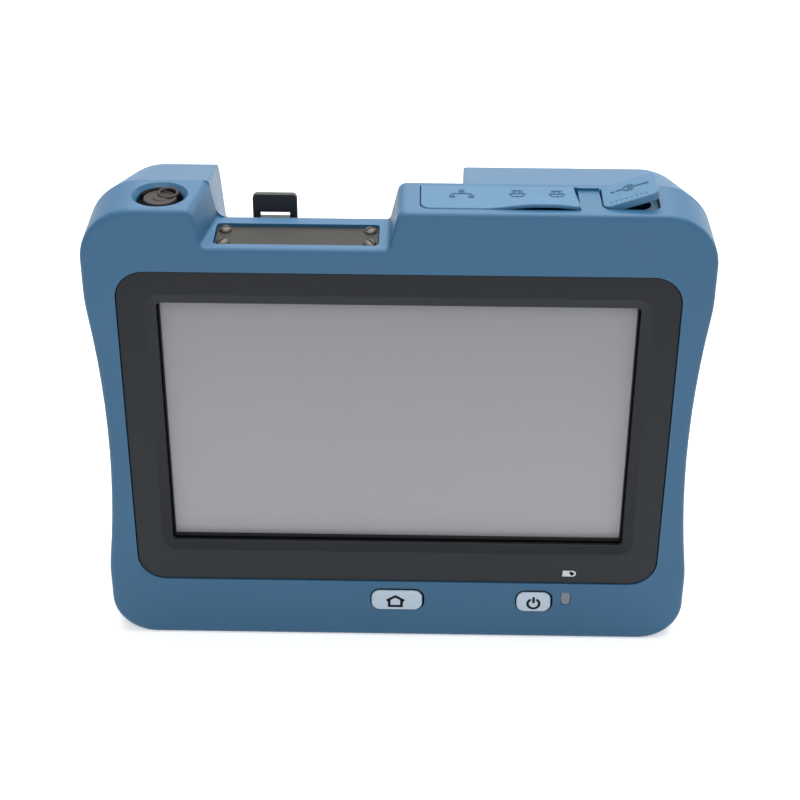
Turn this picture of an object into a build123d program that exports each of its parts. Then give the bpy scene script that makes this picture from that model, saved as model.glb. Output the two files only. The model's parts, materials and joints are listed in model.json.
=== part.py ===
# Handheld optical time domain reflectometer: a seven-inch touch screen tester in two shells.
# Millimetres. The origin is the middle of the flat base, +X runs to the reader's right as
# they face the screen, +Y to the back and +Z up.
import os
from math import cos, hypot, radians, sin, tan

from build123d import *

os.makedirs("parts", exist_ok=True)

# Case
case_width = 200
case_depth = 68
case_height = 166
wall = 2.5
top_wall = 5.5
face_wall = 4
front_zone_depth = 22
waist_depth = 3.6
waist_low_z = 29
waist_high_drop = 33
waist_softening = 60
bottom_corner_radius = 15
top_corner_radius = 18
front_edge_radius = 2.6
back_edge_radius = 9
rear_slope = 17.5
rear_narrowing = 2
base_trim = 0.02

# Clearances
slip = 0.3
snug = 0.1
thread_play = 0.05

# Low section between the two towers of the front shell, and the notch behind it
left_tower_width = 38
right_tower_width = 103.1
bay_drop = 12.8
bay_left_lean = 2.5
bay_left_slant = 3.6
bay_right_lean = 3.1
bay_floor_radius = 1.5
bay_lip_radius = 3
notch_right_margin = 80
notch_slope = 28
notch_spread = 1.1
notch_left_lean = 0.09
notch_radius = 4
tower_back_wall = 2.1

# Screen stack
bezel_side_margin = 10.4
bezel_bottom = 24.1
bezel_top_margin = 21.6
bezel_radius = 9.5
bezel_thickness = 2.4
bezel_sink = 0.4
bezel_gap = 0.25
bezel_ledge = 1.2
bezel_slope_width = 3.6
bezel_slope_depth = 1
screen_side_margin = 12.4
screen_bottom_margin = 15.7
screen_top_margin = 11.6
screen_radius = 1.5
ledge_margin = 2.5
gasket_thickness = 1
gasket_lip = 0.7
panel_side_margin = 5.3
panel_end_margin = 5.5
touch_thickness = 1.4
lcd_thickness = 5.1

# Chassis plate and boards
chassis_thickness = 2
chassis_side_margin = 7.5
chassis_bottom = 30
chassis_top_margin = 26
chassis_boss_radius = 3
chassis_boss_side_margin = 12
chassis_boss_end_margin = 28
board_spacing = 4.5
board_thickness = 1.6
board_left_margin = 9
board_right_margin = 10
board_bottom = 32
board_shoulder_drop = 38
board_tower_reach = 3.7
board_tower_right_margin = 19
board_top_margin = 6
board_post_radius = 2.5
board_post_from_module = 7
board_post_from_spool = 34
board_post_low = 13
board_post_drop = 6

# Keys
key_z = 16.3
home_x = 0
home_width = 17.7
home_height = 8
power_from_right = 52.2
power_width = 11.9
power_height = 8
key_radius = 3
key_proud = 1
key_travel = 0.8
key_flange = 1.4
key_flange_thickness = 1
key_board_spacing = 5
key_board_left = -15
key_board_right_margin = 36
key_board_height = 15
key_post_shares = (0.42, 0.58)
key_post_radius = 2.5
switch_size = 6
switch_height = 1.8
switch_plunger_radius = 1.6
light_from_right = 41
light_z = 17.4
light_width = 3.2
light_height = 5.2
light_shoulder = 0.7

# Cover plate in the low section
plate_shift = 0.35
plate_from_front = 10.3
plate_side_gaps = 7.5
plate_depth = 14
plate_thickness = 1.2
plate_gasket_thickness = 0.5
plate_sink = 1
plate_radius = 1.2
plate_screw_inset = 2.6
plate_screw_radius = 1
plate_screw_head_radius = 2.1
plate_screw_dome = 1.3
plate_screw_length = 4.5
plate_window_margins = 13.4
plate_window_depth = 7

# Optical port in the left tower
port_from_left = 25
port_from_front = 11.5
port_mouth_radius = 8.9
port_well_radius = 7.5
port_dish_depth = 2
port_well_wall = 1.8
port_well_depth = 14
port_flange_thickness = 2.5
port_flange_half_width = 8.3
port_barrel_radius = 4
port_barrel_height = 9
port_tail_radius = 3
port_tail_length = 6
adapter_radius = 6.4
adapter_height = 5
adapter_neck_radius = 4.7
adapter_neck_height = 4.6
ferrule_radius = 1.25
ferrule_sleeve_radius = 1.65
ferrule_sleeve_length = 11
cap_radius = 5.4
cap_height = 6.5
cap_edge_radius = 0.8
cap_skirt_radius = 7.1
cap_skirt_thickness = 1.5
cap_skirt_sink = 1
fiber_radius = 0.45

# Rubber cover over the network and data sockets
data_cover_left_margin = 93.3
data_cover_length = 49.3
data_cover_front_margin = 3.5
data_cover_back_margin = 2.5
data_cover_proud = 0.3
data_cover_thickness = 2.4
data_cover_corner = 3
anchor_length = 3.6
anchor_width = 9
anchor_depth = 7
finger_ramp_length = 7
finger_ramp_depth = 0.9

# Power inlet cover, propped open at rest
dc_cover_length = 17.5
dc_cover_front_margin = 4.5
dc_cover_thickness = 2.6
dc_cover_proud = 0.3
dc_cover_tilt = 19
dc_cover_corner = 2.5
dc_slot_length = 14
dc_slot_width = 8

# Sockets
lan_from_cover = 13.3
lan_width = 16
lan_depth = 13
lan_length = 21.5
lan_mouth_width = 11.8
lan_mouth_depth = 8
lan_mouth_length = 15
usb_from_cover = 30.8
usb_width = 6.9
usb_depth = 13.1
usb_length = 14
micro_from_cover = 43.3
micro_width = 3.4
micro_depth = 7.8
micro_length = 5.5
socket_wall = 0.5
socket_sink = 0.6
dc_jack_size = 9
dc_jack_length = 12
dc_jack_bore = 3.1
dc_pin_radius = 1.1

# Stylus in the rear notch
stylus_from_bay = 21.4
stylus_behind_parting = 8
stylus_head_width = 14.4
stylus_head_depth = 2
stylus_head_drop = 8
stylus_head_height = 9.4
stylus_head_radius = 1.6
stylus_slot_width = 9.6
stylus_slot_height = 2.3
stylus_slot_rise = 1.95
stylus_body_width = 10.4
stylus_body_depth = 4.4
stylus_tip_z = 44.6
stylus_tip_length = 9
stylus_tip_size = 1.6
sleeve_wall = 1.6

# Stand on the back
stand_width = 76
stand_bottom = 11
door_zone_height = 60
stand_thickness = 4
stand_knuckle_radius = 2.8
stand_pin_radius = 1.5
stand_pin_grip = 5
stand_pin_hold = 4.5
stand_finger_gap = 3.2
stand_pan_wall = 2
stand_rib_pitch = 12
stand_rib_depth = 1.2
stand_pad_height = 6

# Battery behind its door
battery_end_margin = 5
battery_side_margin = 10
battery_depth_reserve = 48
battery_play = 0.6
compartment_wall = 1.8
door_side_margin = 53
door_above_stand = 9
door_top_margin = 43
door_thickness = 2.6
door_radius = 4
door_ledge = 3.5
door_screw_inset = 4
door_screw_radius = 1.5
door_screw_head_radius = 2.8
door_screw_head = 1.4
door_screw_length = 9
door_boss_radius = 3.4

# Screws that join the shells
case_screw_side_margin = 13
case_screw_low = 16
case_screw_drop = 32
case_screw_radius = 1.5
case_screw_head_radius = 2.75
case_screw_head = 2.2
case_screw_reach = 10
case_screw_seat_depth = 18
case_boss_radius = 3.5
case_column_radius = 4.8

# Things behind the board
module_side_margin = 10
module_width = 37
module_end_margin = 2
module_top_margin = 8
module_depth_reserve = 48
module_fin_pitch = 8
spool_from_right = 38
spool_z = 62
spool_radius = 26
spool_hub_radius = 17
spool_height = 9
spool_flange = 1
shield_width = 44
shield_height = 40
shield_depth = 3.2
shield_x = -6
shield_drop = 36
speaker_from_right = 32
speaker_drop = 58
speaker_radius = 12
speaker_height = 4.5
grille_slots = 5
grille_pitch = 3.6
grille_slot_length = 15
grille_slot_width = 1.4
seal_width = 1
seal_depth = 1
seal_inset = 0.75
seal_top_inset = 3.2

half_width = case_width / 2
front_y = -case_depth / 2
back_y = case_depth / 2
parting_y = front_y + front_zone_depth
bay_z = case_height - bay_drop
waist_high_z = case_height - waist_high_drop

# Places across the width, from the side walls inwards
bay_left = left_tower_width - half_width
bay_right = half_width - right_tower_width
notch_right = half_width - notch_right_margin
port_x = port_from_left - half_width
port_y = front_y + port_from_front
plate_mid_x = (bay_left + bay_right) / 2 + plate_shift
plate_mid_y = front_y + plate_from_front
plate_length = bay_right - bay_left - plate_side_gaps
plate_window_length = plate_length - plate_window_margins
data_cover_left = half_width - data_cover_left_margin
data_cover_right = data_cover_left + data_cover_length
finger_ramp_right = data_cover_right + finger_ramp_length
dc_cover_left = finger_ramp_right + slip
lan_x = data_cover_left + lan_from_cover
usb_x = data_cover_left + usb_from_cover
micro_x = data_cover_left + micro_from_cover
stylus_x = bay_left + stylus_from_bay
stylus_y = parting_y + stylus_behind_parting
power_x = half_width - power_from_right
light_x = half_width - light_from_right
key_board_right = half_width - key_board_right_margin
key_post_x = [home_x + share * (power_x - home_x) for share in key_post_shares]
case_screw_x = half_width - case_screw_side_margin
chassis_half_width = half_width - chassis_side_margin
chassis_boss_x = half_width - chassis_boss_side_margin
board_left = board_left_margin - half_width
board_right = half_width - board_right_margin
board_tower_left = data_cover_left - board_tower_reach
board_tower_right = half_width - board_tower_right_margin
module_left = module_side_margin - half_width
module_right = module_left + module_width
spool_x = half_width - spool_from_right
board_post_x = (module_right + board_post_from_module, spool_x - board_post_from_spool)
speaker_x = half_width - speaker_from_right

# Screen stack sizes, from the front face inwards
bezel_width = case_width - 2 * bezel_side_margin
bezel_height = case_height - bezel_bottom - bezel_top_margin
bezel_mid_z = bezel_bottom + bezel_height / 2
screen_width = bezel_width - 2 * screen_side_margin
screen_height = bezel_height - screen_bottom_margin - screen_top_margin
screen_mid_z = bezel_mid_z + (screen_bottom_margin - screen_top_margin) / 2
panel_width = screen_width + 2 * panel_side_margin
panel_height = screen_height + 2 * panel_end_margin

# Heights that follow the top of the case
case_screw_z = (case_screw_low, case_height - case_screw_drop)
chassis_top = case_height - chassis_top_margin
chassis_boss_z = (chassis_bottom + chassis_boss_end_margin, chassis_top - chassis_boss_end_margin)
board_shoulder = case_height - board_shoulder_drop
board_top = case_height - board_top_margin
board_post_z = (board_bottom + board_post_low, board_shoulder - board_post_drop)
module_bottom = board_bottom + module_end_margin
module_top = board_shoulder - module_top_margin
shield_z = board_shoulder - shield_drop
speaker_z = case_height - speaker_drop
stylus_head_top = case_height - stylus_head_drop
stylus_head_bottom = stylus_head_top - stylus_head_height
stylus_slot_z = stylus_head_bottom + stylus_slot_rise
stand_hinge_z = stand_bottom + (case_height - door_zone_height) / 2
door_height = case_height - door_top_margin - stand_hinge_z - door_above_stand
battery_mid_z = stand_hinge_z + door_above_stand + door_height / 2
battery_height = door_height - 2 * battery_end_margin
door_width = case_width - 2 * door_side_margin
battery_width = door_width - 2 * battery_side_margin
battery_thickness = case_depth - battery_depth_reserve
module_depth = case_depth - module_depth_reserve
door_screw_x = door_width / 2 - door_screw_inset
case_screw_seat_y = parting_y + case_screw_seat_depth


def upright(y, z=0):
    """A plane parallel to the screen at depth y and height z, seen from the screen side."""
    return Plane(origin=(0, y, z), x_dir=(1, 0, 0), z_dir=(0, -1, 0))


def outline(inset, top_inset, depth=parting_y):
    """The waisted front-view outline at a depth; behind the parting line it sinks and narrows."""
    behind = max(depth - parting_y, 0)
    drop = behind * tan(radians(rear_slope))
    side = half_width - inset - rear_narrowing * behind / (back_y - parting_y)
    top = case_height - top_inset - drop
    low = waist_low_z
    high = waist_high_z - drop
    middle = (waist_low_z + high) / 2
    with BuildSketch() as shape:
        with BuildLine():
            Polyline((-side, low), (-side, inset), (side, inset), (side, low))
            ThreePointArc((side, low), (side - waist_depth, middle), (side, high))
            Polyline((side, high), (side, top), (-side, top), (-side, high))
            ThreePointArc((-side, high), (waist_depth - side, middle), (-side, low))
        make_face()
        fillet(shape.vertices().group_by(Axis.Y)[1], waist_softening)
        fillet(shape.vertices().group_by(Axis.Y)[-2], waist_softening)
        fillet(shape.vertices().group_by(Axis.Y)[0], bottom_corner_radius - inset)
        fillet(shape.vertices().group_by(Axis.Y)[-1], top_corner_radius - inset)
    return shape.sketch


def bay_profile(left, right, floor):
    """Air above the low section between two leaning walls, from the places of their feet."""
    top = case_height + bay_drop
    lean = (top - floor) / bay_drop
    with BuildSketch() as profile:
        with BuildLine():
            Polyline(
                (left, floor),
                (right, floor),
                (right + bay_right_lean * lean, top),
                (left - bay_left_lean * lean, top),
                close=True,
            )
        make_face()
    return profile.sketch


def light_outline(margin):
    """The charge light's window, square at the top and round at the foot."""
    width = light_width + 2 * margin
    with BuildSketch() as window:
        Rectangle(width, light_height + 2 * margin)
        fillet(window.vertices().group_by(Axis.Y)[0], width / 2 - margin - slip)
        fillet(window.vertices().group_by(Axis.Y)[-1], light_shoulder + margin)
    return window.sketch


def rear_notch(margin):
    """Air above the rear shell between its towers, or that air grown by the wall below it."""
    with BuildPart() as notch:
        for depth in (parting_y, back_y + notch_radius):
            behind = depth - parting_y
            share = behind / (back_y - parting_y)
            spread = notch_spread * share + margin
            floor = bay_z - behind * tan(radians(notch_slope)) - margin
            lean = bay_left_lean / bay_drop * (1 - share) + notch_left_lean * share
            left = bay_left + bay_left_slant * (1 - share) - spread
            right = notch_right + spread
            top = case_height + bay_drop
            with BuildSketch(upright(depth)) as section:
                with BuildLine():
                    Polyline(
                        (left - lean * (floor - bay_z), floor),
                        (right, floor),
                        (right, top),
                        (left - lean * (top - bay_z), top),
                        close=True,
                    )
                make_face()
                fillet(section.vertices().group_by(Axis.Y)[0], notch_radius)
        loft(ruled=True)
    return notch.part


# Depths of the layers behind the bezel, each worked out from the one in front of it
bezel_front_y = front_y + bezel_sink
bezel_back_y = bezel_front_y + bezel_thickness
cavity_front_y = bezel_back_y + bezel_ledge
touch_front_y = cavity_front_y + gasket_thickness
lcd_front_y = touch_front_y + touch_thickness
key_board_y = cavity_front_y + key_board_spacing
chassis_front_y = lcd_front_y + lcd_thickness
chassis_back_y = chassis_front_y + chassis_thickness
board_front_y = chassis_back_y + board_spacing
board_back_y = board_front_y + board_thickness
case_screw_spots = [(x, z) for x in (-case_screw_x, case_screw_x) for z in case_screw_z]
chassis_screw_spots = [(x, z) for x in (-chassis_boss_x, chassis_boss_x) for z in chassis_boss_z]
board_screw_spots = [(x, z) for x in board_post_x for z in board_post_z]

# Heights on the top side
plate_seat_z = bay_z - plate_sink - plate_thickness - plate_gasket_thickness
plate_screw_reach_x = plate_length / 2 - plate_screw_inset
plate_screw_reach_y = plate_depth / 2 - plate_screw_inset
plate_screw_spots = [
    (plate_mid_x + side * plate_screw_reach_x, plate_mid_y + end * plate_screw_reach_y)
    for side in (-1, 1)
    for end in (-1, 1)
]
data_cover_top = case_height + data_cover_proud
data_seat_z = data_cover_top - data_cover_thickness - slip
data_cover_front = front_y + data_cover_front_margin
data_cover_back = parting_y - data_cover_back_margin
data_cover_depth = data_cover_back - data_cover_front
data_cover_mid_x = (data_cover_left + data_cover_right) / 2
data_cover_mid_y = (data_cover_front + data_cover_back) / 2
dc_cover_top = case_height + dc_cover_proud
dc_seat_z = dc_cover_top - dc_cover_thickness - slip
dc_cover_front = front_y + dc_cover_front_margin
dc_cover_back = data_cover_back
dc_cover_depth = dc_cover_back - dc_cover_front
dc_cover_mid_x = dc_cover_left + dc_cover_length / 2
dc_cover_mid_y = (dc_cover_front + dc_cover_back) / 2
tower_ceiling_z = case_height - top_wall
well_floor_z = case_height - port_well_depth
socket_top_z = data_seat_z - socket_sink
dc_jack_y = board_front_y - dc_jack_size / 2
dc_jack_top = tower_ceiling_z

# Sockets stand on the board's front face with their mouths up: middle x, width, depth
socket_windows = (
    (lan_x, lan_width, lan_depth),
    (usb_x, usb_width, usb_depth),
    (micro_x, micro_width, micro_depth),
)

# Front shell: a soft-edged tray with the screen window, two towers and the low section
with BuildPart() as front_shell:
    with BuildSketch(upright(parting_y)):
        add(outline(0, 0))
    extrude(amount=front_zone_depth)
    # Low section, whose left wall slants inwards from the face to the parting line
    with BuildSketch(upright(parting_y)):
        add(bay_profile(bay_left + bay_left_slant, bay_right, bay_z))
    extrude(amount=front_zone_depth, mode=Mode.SUBTRACT)
    with BuildSketch(upright(front_y)):
        add(bay_profile(bay_left, bay_left + 2 * bay_left_slant, bay_z))
    extrude(
        dir=(bay_left_slant, front_zone_depth, 0),
        amount=hypot(bay_left_slant, front_zone_depth),
        mode=Mode.SUBTRACT,
    )
    floor_edges = front_shell.edges().filter_by_position(Axis.Z, bay_z - snug, bay_z + snug)
    fillet(floor_edges.sort_by(Axis.X)[:: len(floor_edges) - 1], bay_floor_radius)
    left_top, right_top = front_shell.faces().group_by(Axis.Z)[-1].sort_by(Axis.X)
    lips = (left_top.edges().sort_by(Axis.X)[-1], right_top.edges().sort_by(Axis.X)[0])
    fillet(lips, bay_lip_radius)
    fillet(front_shell.faces().sort_by(Axis.Y)[0].edges(), front_edge_radius)
    with BuildSketch(upright(parting_y)):
        add(outline(wall, top_wall))
        add(bay_profile(bay_left - wall, bay_right + wall, bay_z - top_wall), mode=Mode.SUBTRACT)
    extrude(amount=parting_y - cavity_front_y, mode=Mode.SUBTRACT)
    # Back wall of the right tower, which stands in front of the notch
    with BuildSketch(upright(parting_y)):
        with BuildLine():
            Polyline(
                (bay_right, bay_z - top_wall),
                (notch_right + notch_radius, bay_z - top_wall),
                (notch_right + notch_radius, tower_ceiling_z + wall),
                (bay_right + bay_right_lean, tower_ceiling_z + wall),
                close=True,
            )
        make_face()
    extrude(amount=tower_back_wall)
    # Bosses for the shell screws, the chassis and the key board
    with BuildSketch(upright(parting_y)):
        with Locations(*case_screw_spots):
            Circle(case_boss_radius)
    extrude(amount=parting_y - cavity_front_y)
    with BuildSketch(upright(chassis_front_y)):
        with Locations(*chassis_screw_spots):
            Circle(chassis_boss_radius)
    extrude(amount=chassis_front_y - cavity_front_y)
    with BuildSketch(upright(key_board_y)):
        with Locations(*[(x, key_z) for x in key_post_x]):
            Circle(key_post_radius)
    extrude(amount=key_board_y - cavity_front_y)
    with BuildSketch(upright(parting_y)):
        with Locations(*case_screw_spots):
            Circle(case_screw_radius + thread_play)
    extrude(amount=case_screw_reach + slip, mode=Mode.SUBTRACT)
    with BuildSketch(upright(chassis_front_y)):
        with Locations(*chassis_screw_spots):
            Circle(plate_screw_radius + thread_play)
    extrude(amount=plate_screw_length, mode=Mode.SUBTRACT)
    # Bezel recess and the window in its ledge
    with BuildSketch(upright(bezel_back_y)):
        with Locations((0, bezel_mid_z)):
            RectangleRounded(
                bezel_width + 2 * bezel_gap, bezel_height + 2 * bezel_gap, bezel_radius + bezel_gap
            )
    extrude(amount=bezel_back_y - front_y, mode=Mode.SUBTRACT)
    with BuildSketch(upright(cavity_front_y)):
        with Locations((0, screen_mid_z)):
            RectangleRounded(
                screen_width + 2 * ledge_margin, screen_height + 2 * ledge_margin, ledge_margin
            )
    extrude(amount=face_wall, mode=Mode.SUBTRACT)
    # Key and charge light holes through the face
    with BuildSketch(upright(cavity_front_y)):
        with Locations((home_x, key_z)):
            RectangleRounded(home_width + 2 * slip, home_height + 2 * slip, key_radius + slip)
        with Locations((power_x, key_z)):
            RectangleRounded(power_width + 2 * slip, power_height + 2 * slip, key_radius + slip)
        with Locations((light_x, light_z)):
            add(light_outline(snug))
    extrude(amount=face_wall + slip, mode=Mode.SUBTRACT)
    # Cover plate recess, its window and screw holes
    with BuildSketch(Plane.XY.offset(bay_z)):
        with Locations((plate_mid_x, plate_mid_y)):
            RectangleRounded(plate_length + 2 * slip, plate_depth + 2 * slip, plate_radius + slip)
    extrude(amount=plate_seat_z - bay_z, mode=Mode.SUBTRACT)
    with BuildSketch(Plane.XY.offset(plate_seat_z)):
        with Locations((plate_mid_x, plate_mid_y)):
            RectangleRounded(plate_window_length, plate_window_depth, plate_radius)
    extrude(amount=-top_wall, mode=Mode.SUBTRACT)
    with BuildSketch(Plane.XY.offset(plate_seat_z)):
        with Locations(*plate_screw_spots):
            Circle(plate_screw_radius + thread_play)
    extrude(amount=-top_wall, mode=Mode.SUBTRACT)
    # Optical port: a well hanging from the tower top, with a dished mouth
    with BuildSketch(Plane.XY.offset(well_floor_z)):
        with Locations((port_x, port_y)):
            Circle(port_well_radius + port_well_wall)
    extrude(amount=port_well_depth - wall)
    with BuildSketch(Plane.XY.offset(case_height)):
        with Locations((port_x, port_y)):
            Circle(port_well_radius)
    extrude(amount=-port_well_depth, mode=Mode.SUBTRACT)
    with Locations((port_x, port_y, case_height - port_dish_depth / 2)):
        Cone(port_well_radius, port_mouth_radius, port_dish_depth, mode=Mode.SUBTRACT)
    # Seat of the socket cover, its socket windows, anchor slot and finger ramp
    with BuildSketch(Plane.XY.offset(case_height)) as data_seat:
        with Locations((data_cover_mid_x, data_cover_mid_y)):
            Rectangle(data_cover_length + 2 * slip, data_cover_depth + 2 * slip)
        front_corner = data_seat.vertices().sort_by(Axis.X)[:2].sort_by(Axis.Y)[0]
        fillet(front_corner, data_cover_corner + slip)
    extrude(amount=data_seat_z - case_height, mode=Mode.SUBTRACT)
    with BuildSketch(Plane.XY.offset(data_seat_z)):
        for x, width, depth in socket_windows:
            with Locations((x, board_front_y - depth / 2)):
                Rectangle(width + 2 * snug, depth + 2 * snug)
        with Locations((data_cover_left + anchor_length / 2, data_cover_mid_y)):
            Rectangle(anchor_length + 2 * snug, anchor_width + 2 * snug)
    extrude(amount=-top_wall, mode=Mode.SUBTRACT)
    with BuildSketch(Plane.YZ.offset(data_cover_right)):
        with BuildLine():
            Polyline(
                (data_cover_front, case_height),
                (data_cover_back, case_height - finger_ramp_depth),
                (data_cover_back, case_height + finger_ramp_depth),
                (data_cover_front, case_height + finger_ramp_depth),
                close=True,
            )
        make_face()
    extrude(amount=finger_ramp_right - data_cover_right, mode=Mode.SUBTRACT)
    # Seat of the power inlet cover and the slot above the inlet
    with BuildSketch(Plane.XY.offset(case_height)):
        with Locations((dc_cover_mid_x, dc_cover_mid_y)):
            RectangleRounded(
                dc_cover_length + 2 * slip, dc_cover_depth + 2 * slip, dc_cover_corner + slip
            )
    extrude(amount=dc_seat_z - case_height, mode=Mode.SUBTRACT)
    with BuildSketch(Plane.XY.offset(dc_seat_z)):
        with Locations((dc_cover_mid_x, dc_jack_y)):
            SlotOverall(dc_slot_length, dc_slot_width)
    extrude(amount=-top_wall, mode=Mode.SUBTRACT)
front_shell.part.label = "front_shell"
export_step(front_shell.part, "parts/front_shell.step")

# Depths on the back
compartment_floor_y = back_y - door_thickness - snug - battery_thickness - snug
door_seat_y = back_y - door_thickness - slip
stand_pin_y = back_y - stand_knuckle_radius - slip
stand_seat_y = stand_pin_y - stand_knuckle_radius - slip
stand_top_z = stand_hinge_z + stand_knuckle_radius + slip
stand_floor_z = stand_bottom - stand_finger_gap
stand_mid_z = (stand_top_z + stand_floor_z) / 2
battery_bay = (battery_width + battery_play, battery_height + battery_play)
sleeve_top_z = stylus_head_bottom - slip
sleeve_width = stylus_body_width + 2 * slip + 2 * sleeve_wall
sleeve_depth = stylus_body_depth + 2 * slip + 2 * sleeve_wall
stylus_length = stylus_head_bottom - stylus_tip_z

# Hollow of the rear shell, kept away from the notch
with BuildPart() as rear_hollow:
    for depth in (parting_y, back_y - wall):
        with BuildSketch(upright(depth)):
            add(outline(wall, top_wall, depth))
    loft(ruled=True)
    fillet(rear_hollow.faces().sort_by(Axis.Y)[-1].edges(), back_edge_radius - wall)
    add(rear_notch(wall), mode=Mode.SUBTRACT)

# Seal between the shells, running round the notch
with BuildSketch(upright(parting_y)) as seal_path:
    add(outline(0, seal_top_inset))
    with BuildLine():
        Polyline(
            (bay_left + bay_left_slant, bay_z),
            (notch_right, bay_z),
            (notch_right, case_height),
            (bay_left + bay_left_slant - bay_left_lean, case_height),
            close=True,
        )
    make_face(mode=Mode.SUBTRACT)


def seal_ring(inset, width, depth):
    """A ring inside the parting line, pressed back from it."""
    with BuildPart() as ring:
        with BuildSketch(upright(parting_y)):
            add(seal_path.sketch_local)
            offset(amount=-inset, kind=Kind.INTERSECTION, mode=Mode.REPLACE)
        extrude(amount=-depth)
        with BuildSketch(upright(parting_y)):
            add(seal_path.sketch_local)
            offset(amount=-inset - width, kind=Kind.INTERSECTION, mode=Mode.REPLACE)
        extrude(amount=-depth, mode=Mode.SUBTRACT)
    return ring.part


# Rear shell: lofted so that its top falls away to the back, with the notch between its towers
with BuildPart() as rear_shell:
    for depth in (parting_y, back_y):
        with BuildSketch(upright(depth, -base_trim)):
            add(outline(0, 0, depth))
    loft(ruled=True)
    fillet(rear_shell.faces().sort_by(Axis.Y)[-1].edges(), back_edge_radius)
    # The base is trimmed to a true plane
    split(bisect_by=Plane.XY, keep=Keep.TOP)
    add(rear_hollow.part, mode=Mode.SUBTRACT)
    add(rear_notch(0), mode=Mode.SUBTRACT)
    # Columns for the shell screws
    with BuildSketch(upright(back_y - wall / 2)):
        with Locations(*case_screw_spots):
            Circle(case_column_radius)
    extrude(amount=back_y - wall / 2 - parting_y)
    with BuildSketch(upright(back_y)):
        with Locations(*case_screw_spots):
            Circle(case_screw_head_radius + slip)
    extrude(amount=back_y - case_screw_seat_y, mode=Mode.SUBTRACT)
    with BuildSketch(upright(case_screw_seat_y)):
        with Locations(*case_screw_spots):
            Circle(case_screw_radius + snug)
    extrude(amount=case_screw_seat_y - parting_y, mode=Mode.SUBTRACT)
    # Stand recess in its own pan, with pin holes in the side walls
    with BuildSketch(upright(back_y - wall / 2)):
        with Locations((0, stand_mid_z)):
            Rectangle(
                stand_width + 2 * slip + 2 * (stand_pin_hold + stand_pan_wall),
                stand_top_z - stand_floor_z + 2 * stand_pan_wall,
            )
    extrude(amount=back_y - wall / 2 - stand_seat_y + stand_pan_wall)
    with BuildSketch(upright(back_y)):
        with Locations((0, stand_mid_z)):
            Rectangle(stand_width + 2 * slip, stand_top_z - stand_floor_z)
    extrude(amount=back_y - stand_seat_y, mode=Mode.SUBTRACT)
    with BuildSketch(Plane.YZ):
        with Locations((stand_pin_y, stand_hinge_z)):
            Circle(stand_pin_radius + thread_play)
    extrude(amount=stand_width / 2 + slip + stand_pin_hold, both=True, mode=Mode.SUBTRACT)
    # Battery compartment behind the door seat, and the bosses of the door screws
    with BuildSketch(upright(back_y - wall / 2)):
        with Locations((0, battery_mid_z)):
            Rectangle(door_width + 2 * compartment_wall, door_height + 2 * compartment_wall)
    extrude(amount=back_y - wall / 2 - door_seat_y + wall)
    with BuildSketch(upright(door_seat_y)):
        with Locations((0, battery_mid_z)):
            Rectangle(battery_bay[0] + 2 * compartment_wall, battery_bay[1] + 2 * compartment_wall)
        with Locations((-door_screw_x, battery_mid_z), (door_screw_x, battery_mid_z)):
            Circle(door_boss_radius)
    extrude(amount=door_seat_y - compartment_floor_y + compartment_wall)
    with BuildSketch(upright(back_y)):
        with Locations((0, battery_mid_z)):
            RectangleRounded(door_width + 2 * slip, door_height + 2 * slip, door_radius + slip)
    extrude(amount=back_y - door_seat_y, mode=Mode.SUBTRACT)
    with BuildSketch(upright(door_seat_y)):
        with Locations((0, battery_mid_z)):
            Rectangle(*battery_bay)
    extrude(amount=door_seat_y - compartment_floor_y, mode=Mode.SUBTRACT)
    with BuildSketch(upright(door_seat_y)):
        with Locations((-door_screw_x, battery_mid_z), (door_screw_x, battery_mid_z)):
            Circle(door_screw_radius + thread_play)
    extrude(amount=door_screw_length, mode=Mode.SUBTRACT)
    # Hole for the stylus sleeve through the notch floor
    with BuildSketch(Plane.XY.offset(stylus_tip_z)):
        with Locations((stylus_x, stylus_y)):
            RectangleRounded(sleeve_width + 2 * snug, sleeve_depth + 2 * snug, sleeve_wall)
    extrude(amount=case_height - stylus_tip_z, mode=Mode.SUBTRACT)
    # Speaker slots
    with BuildSketch(upright(back_y)):
        with Locations((speaker_x, speaker_z)):
            with GridLocations(0, grille_pitch, 1, grille_slots):
                SlotOverall(grille_slot_length, grille_slot_width)
    extrude(amount=wall + slip, mode=Mode.SUBTRACT)
    add(seal_ring(seal_inset - snug, seal_width + 2 * snug, seal_depth), mode=Mode.SUBTRACT)
rear_shell.part.label = "rear_shell"
export_step(rear_shell.part, "parts/rear_shell.step")

# Seal cord in the rear shell's groove
with BuildPart() as shell_seal:
    add(seal_ring(seal_inset, seal_width, seal_depth))
shell_seal.part.label = "shell_seal"
export_step(shell_seal.part, "parts/shell_seal.step")

# Bezel: a flat dark frame whose inner edge slopes down to the screen
with BuildPart() as screen_bezel:
    with BuildSketch(upright(bezel_back_y)):
        with Locations((0, bezel_mid_z)):
            RectangleRounded(bezel_width, bezel_height, bezel_radius)
    extrude(amount=bezel_thickness)
    with BuildSketch(upright(bezel_back_y)):
        with Locations((0, screen_mid_z)):
            RectangleRounded(screen_width, screen_height, screen_radius)
    extrude(amount=bezel_thickness, mode=Mode.SUBTRACT)
    for depth, spread in ((bezel_front_y, bezel_slope_width), (bezel_front_y + bezel_slope_depth, 0)):
        with BuildSketch(upright(depth)):
            with Locations((0, screen_mid_z)):
                RectangleRounded(
                    screen_width + 2 * spread, screen_height + 2 * spread, screen_radius + spread
                )
    loft(mode=Mode.SUBTRACT)
screen_bezel.part.label = "screen_bezel"
export_step(screen_bezel.part, "parts/screen_bezel.step")

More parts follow.
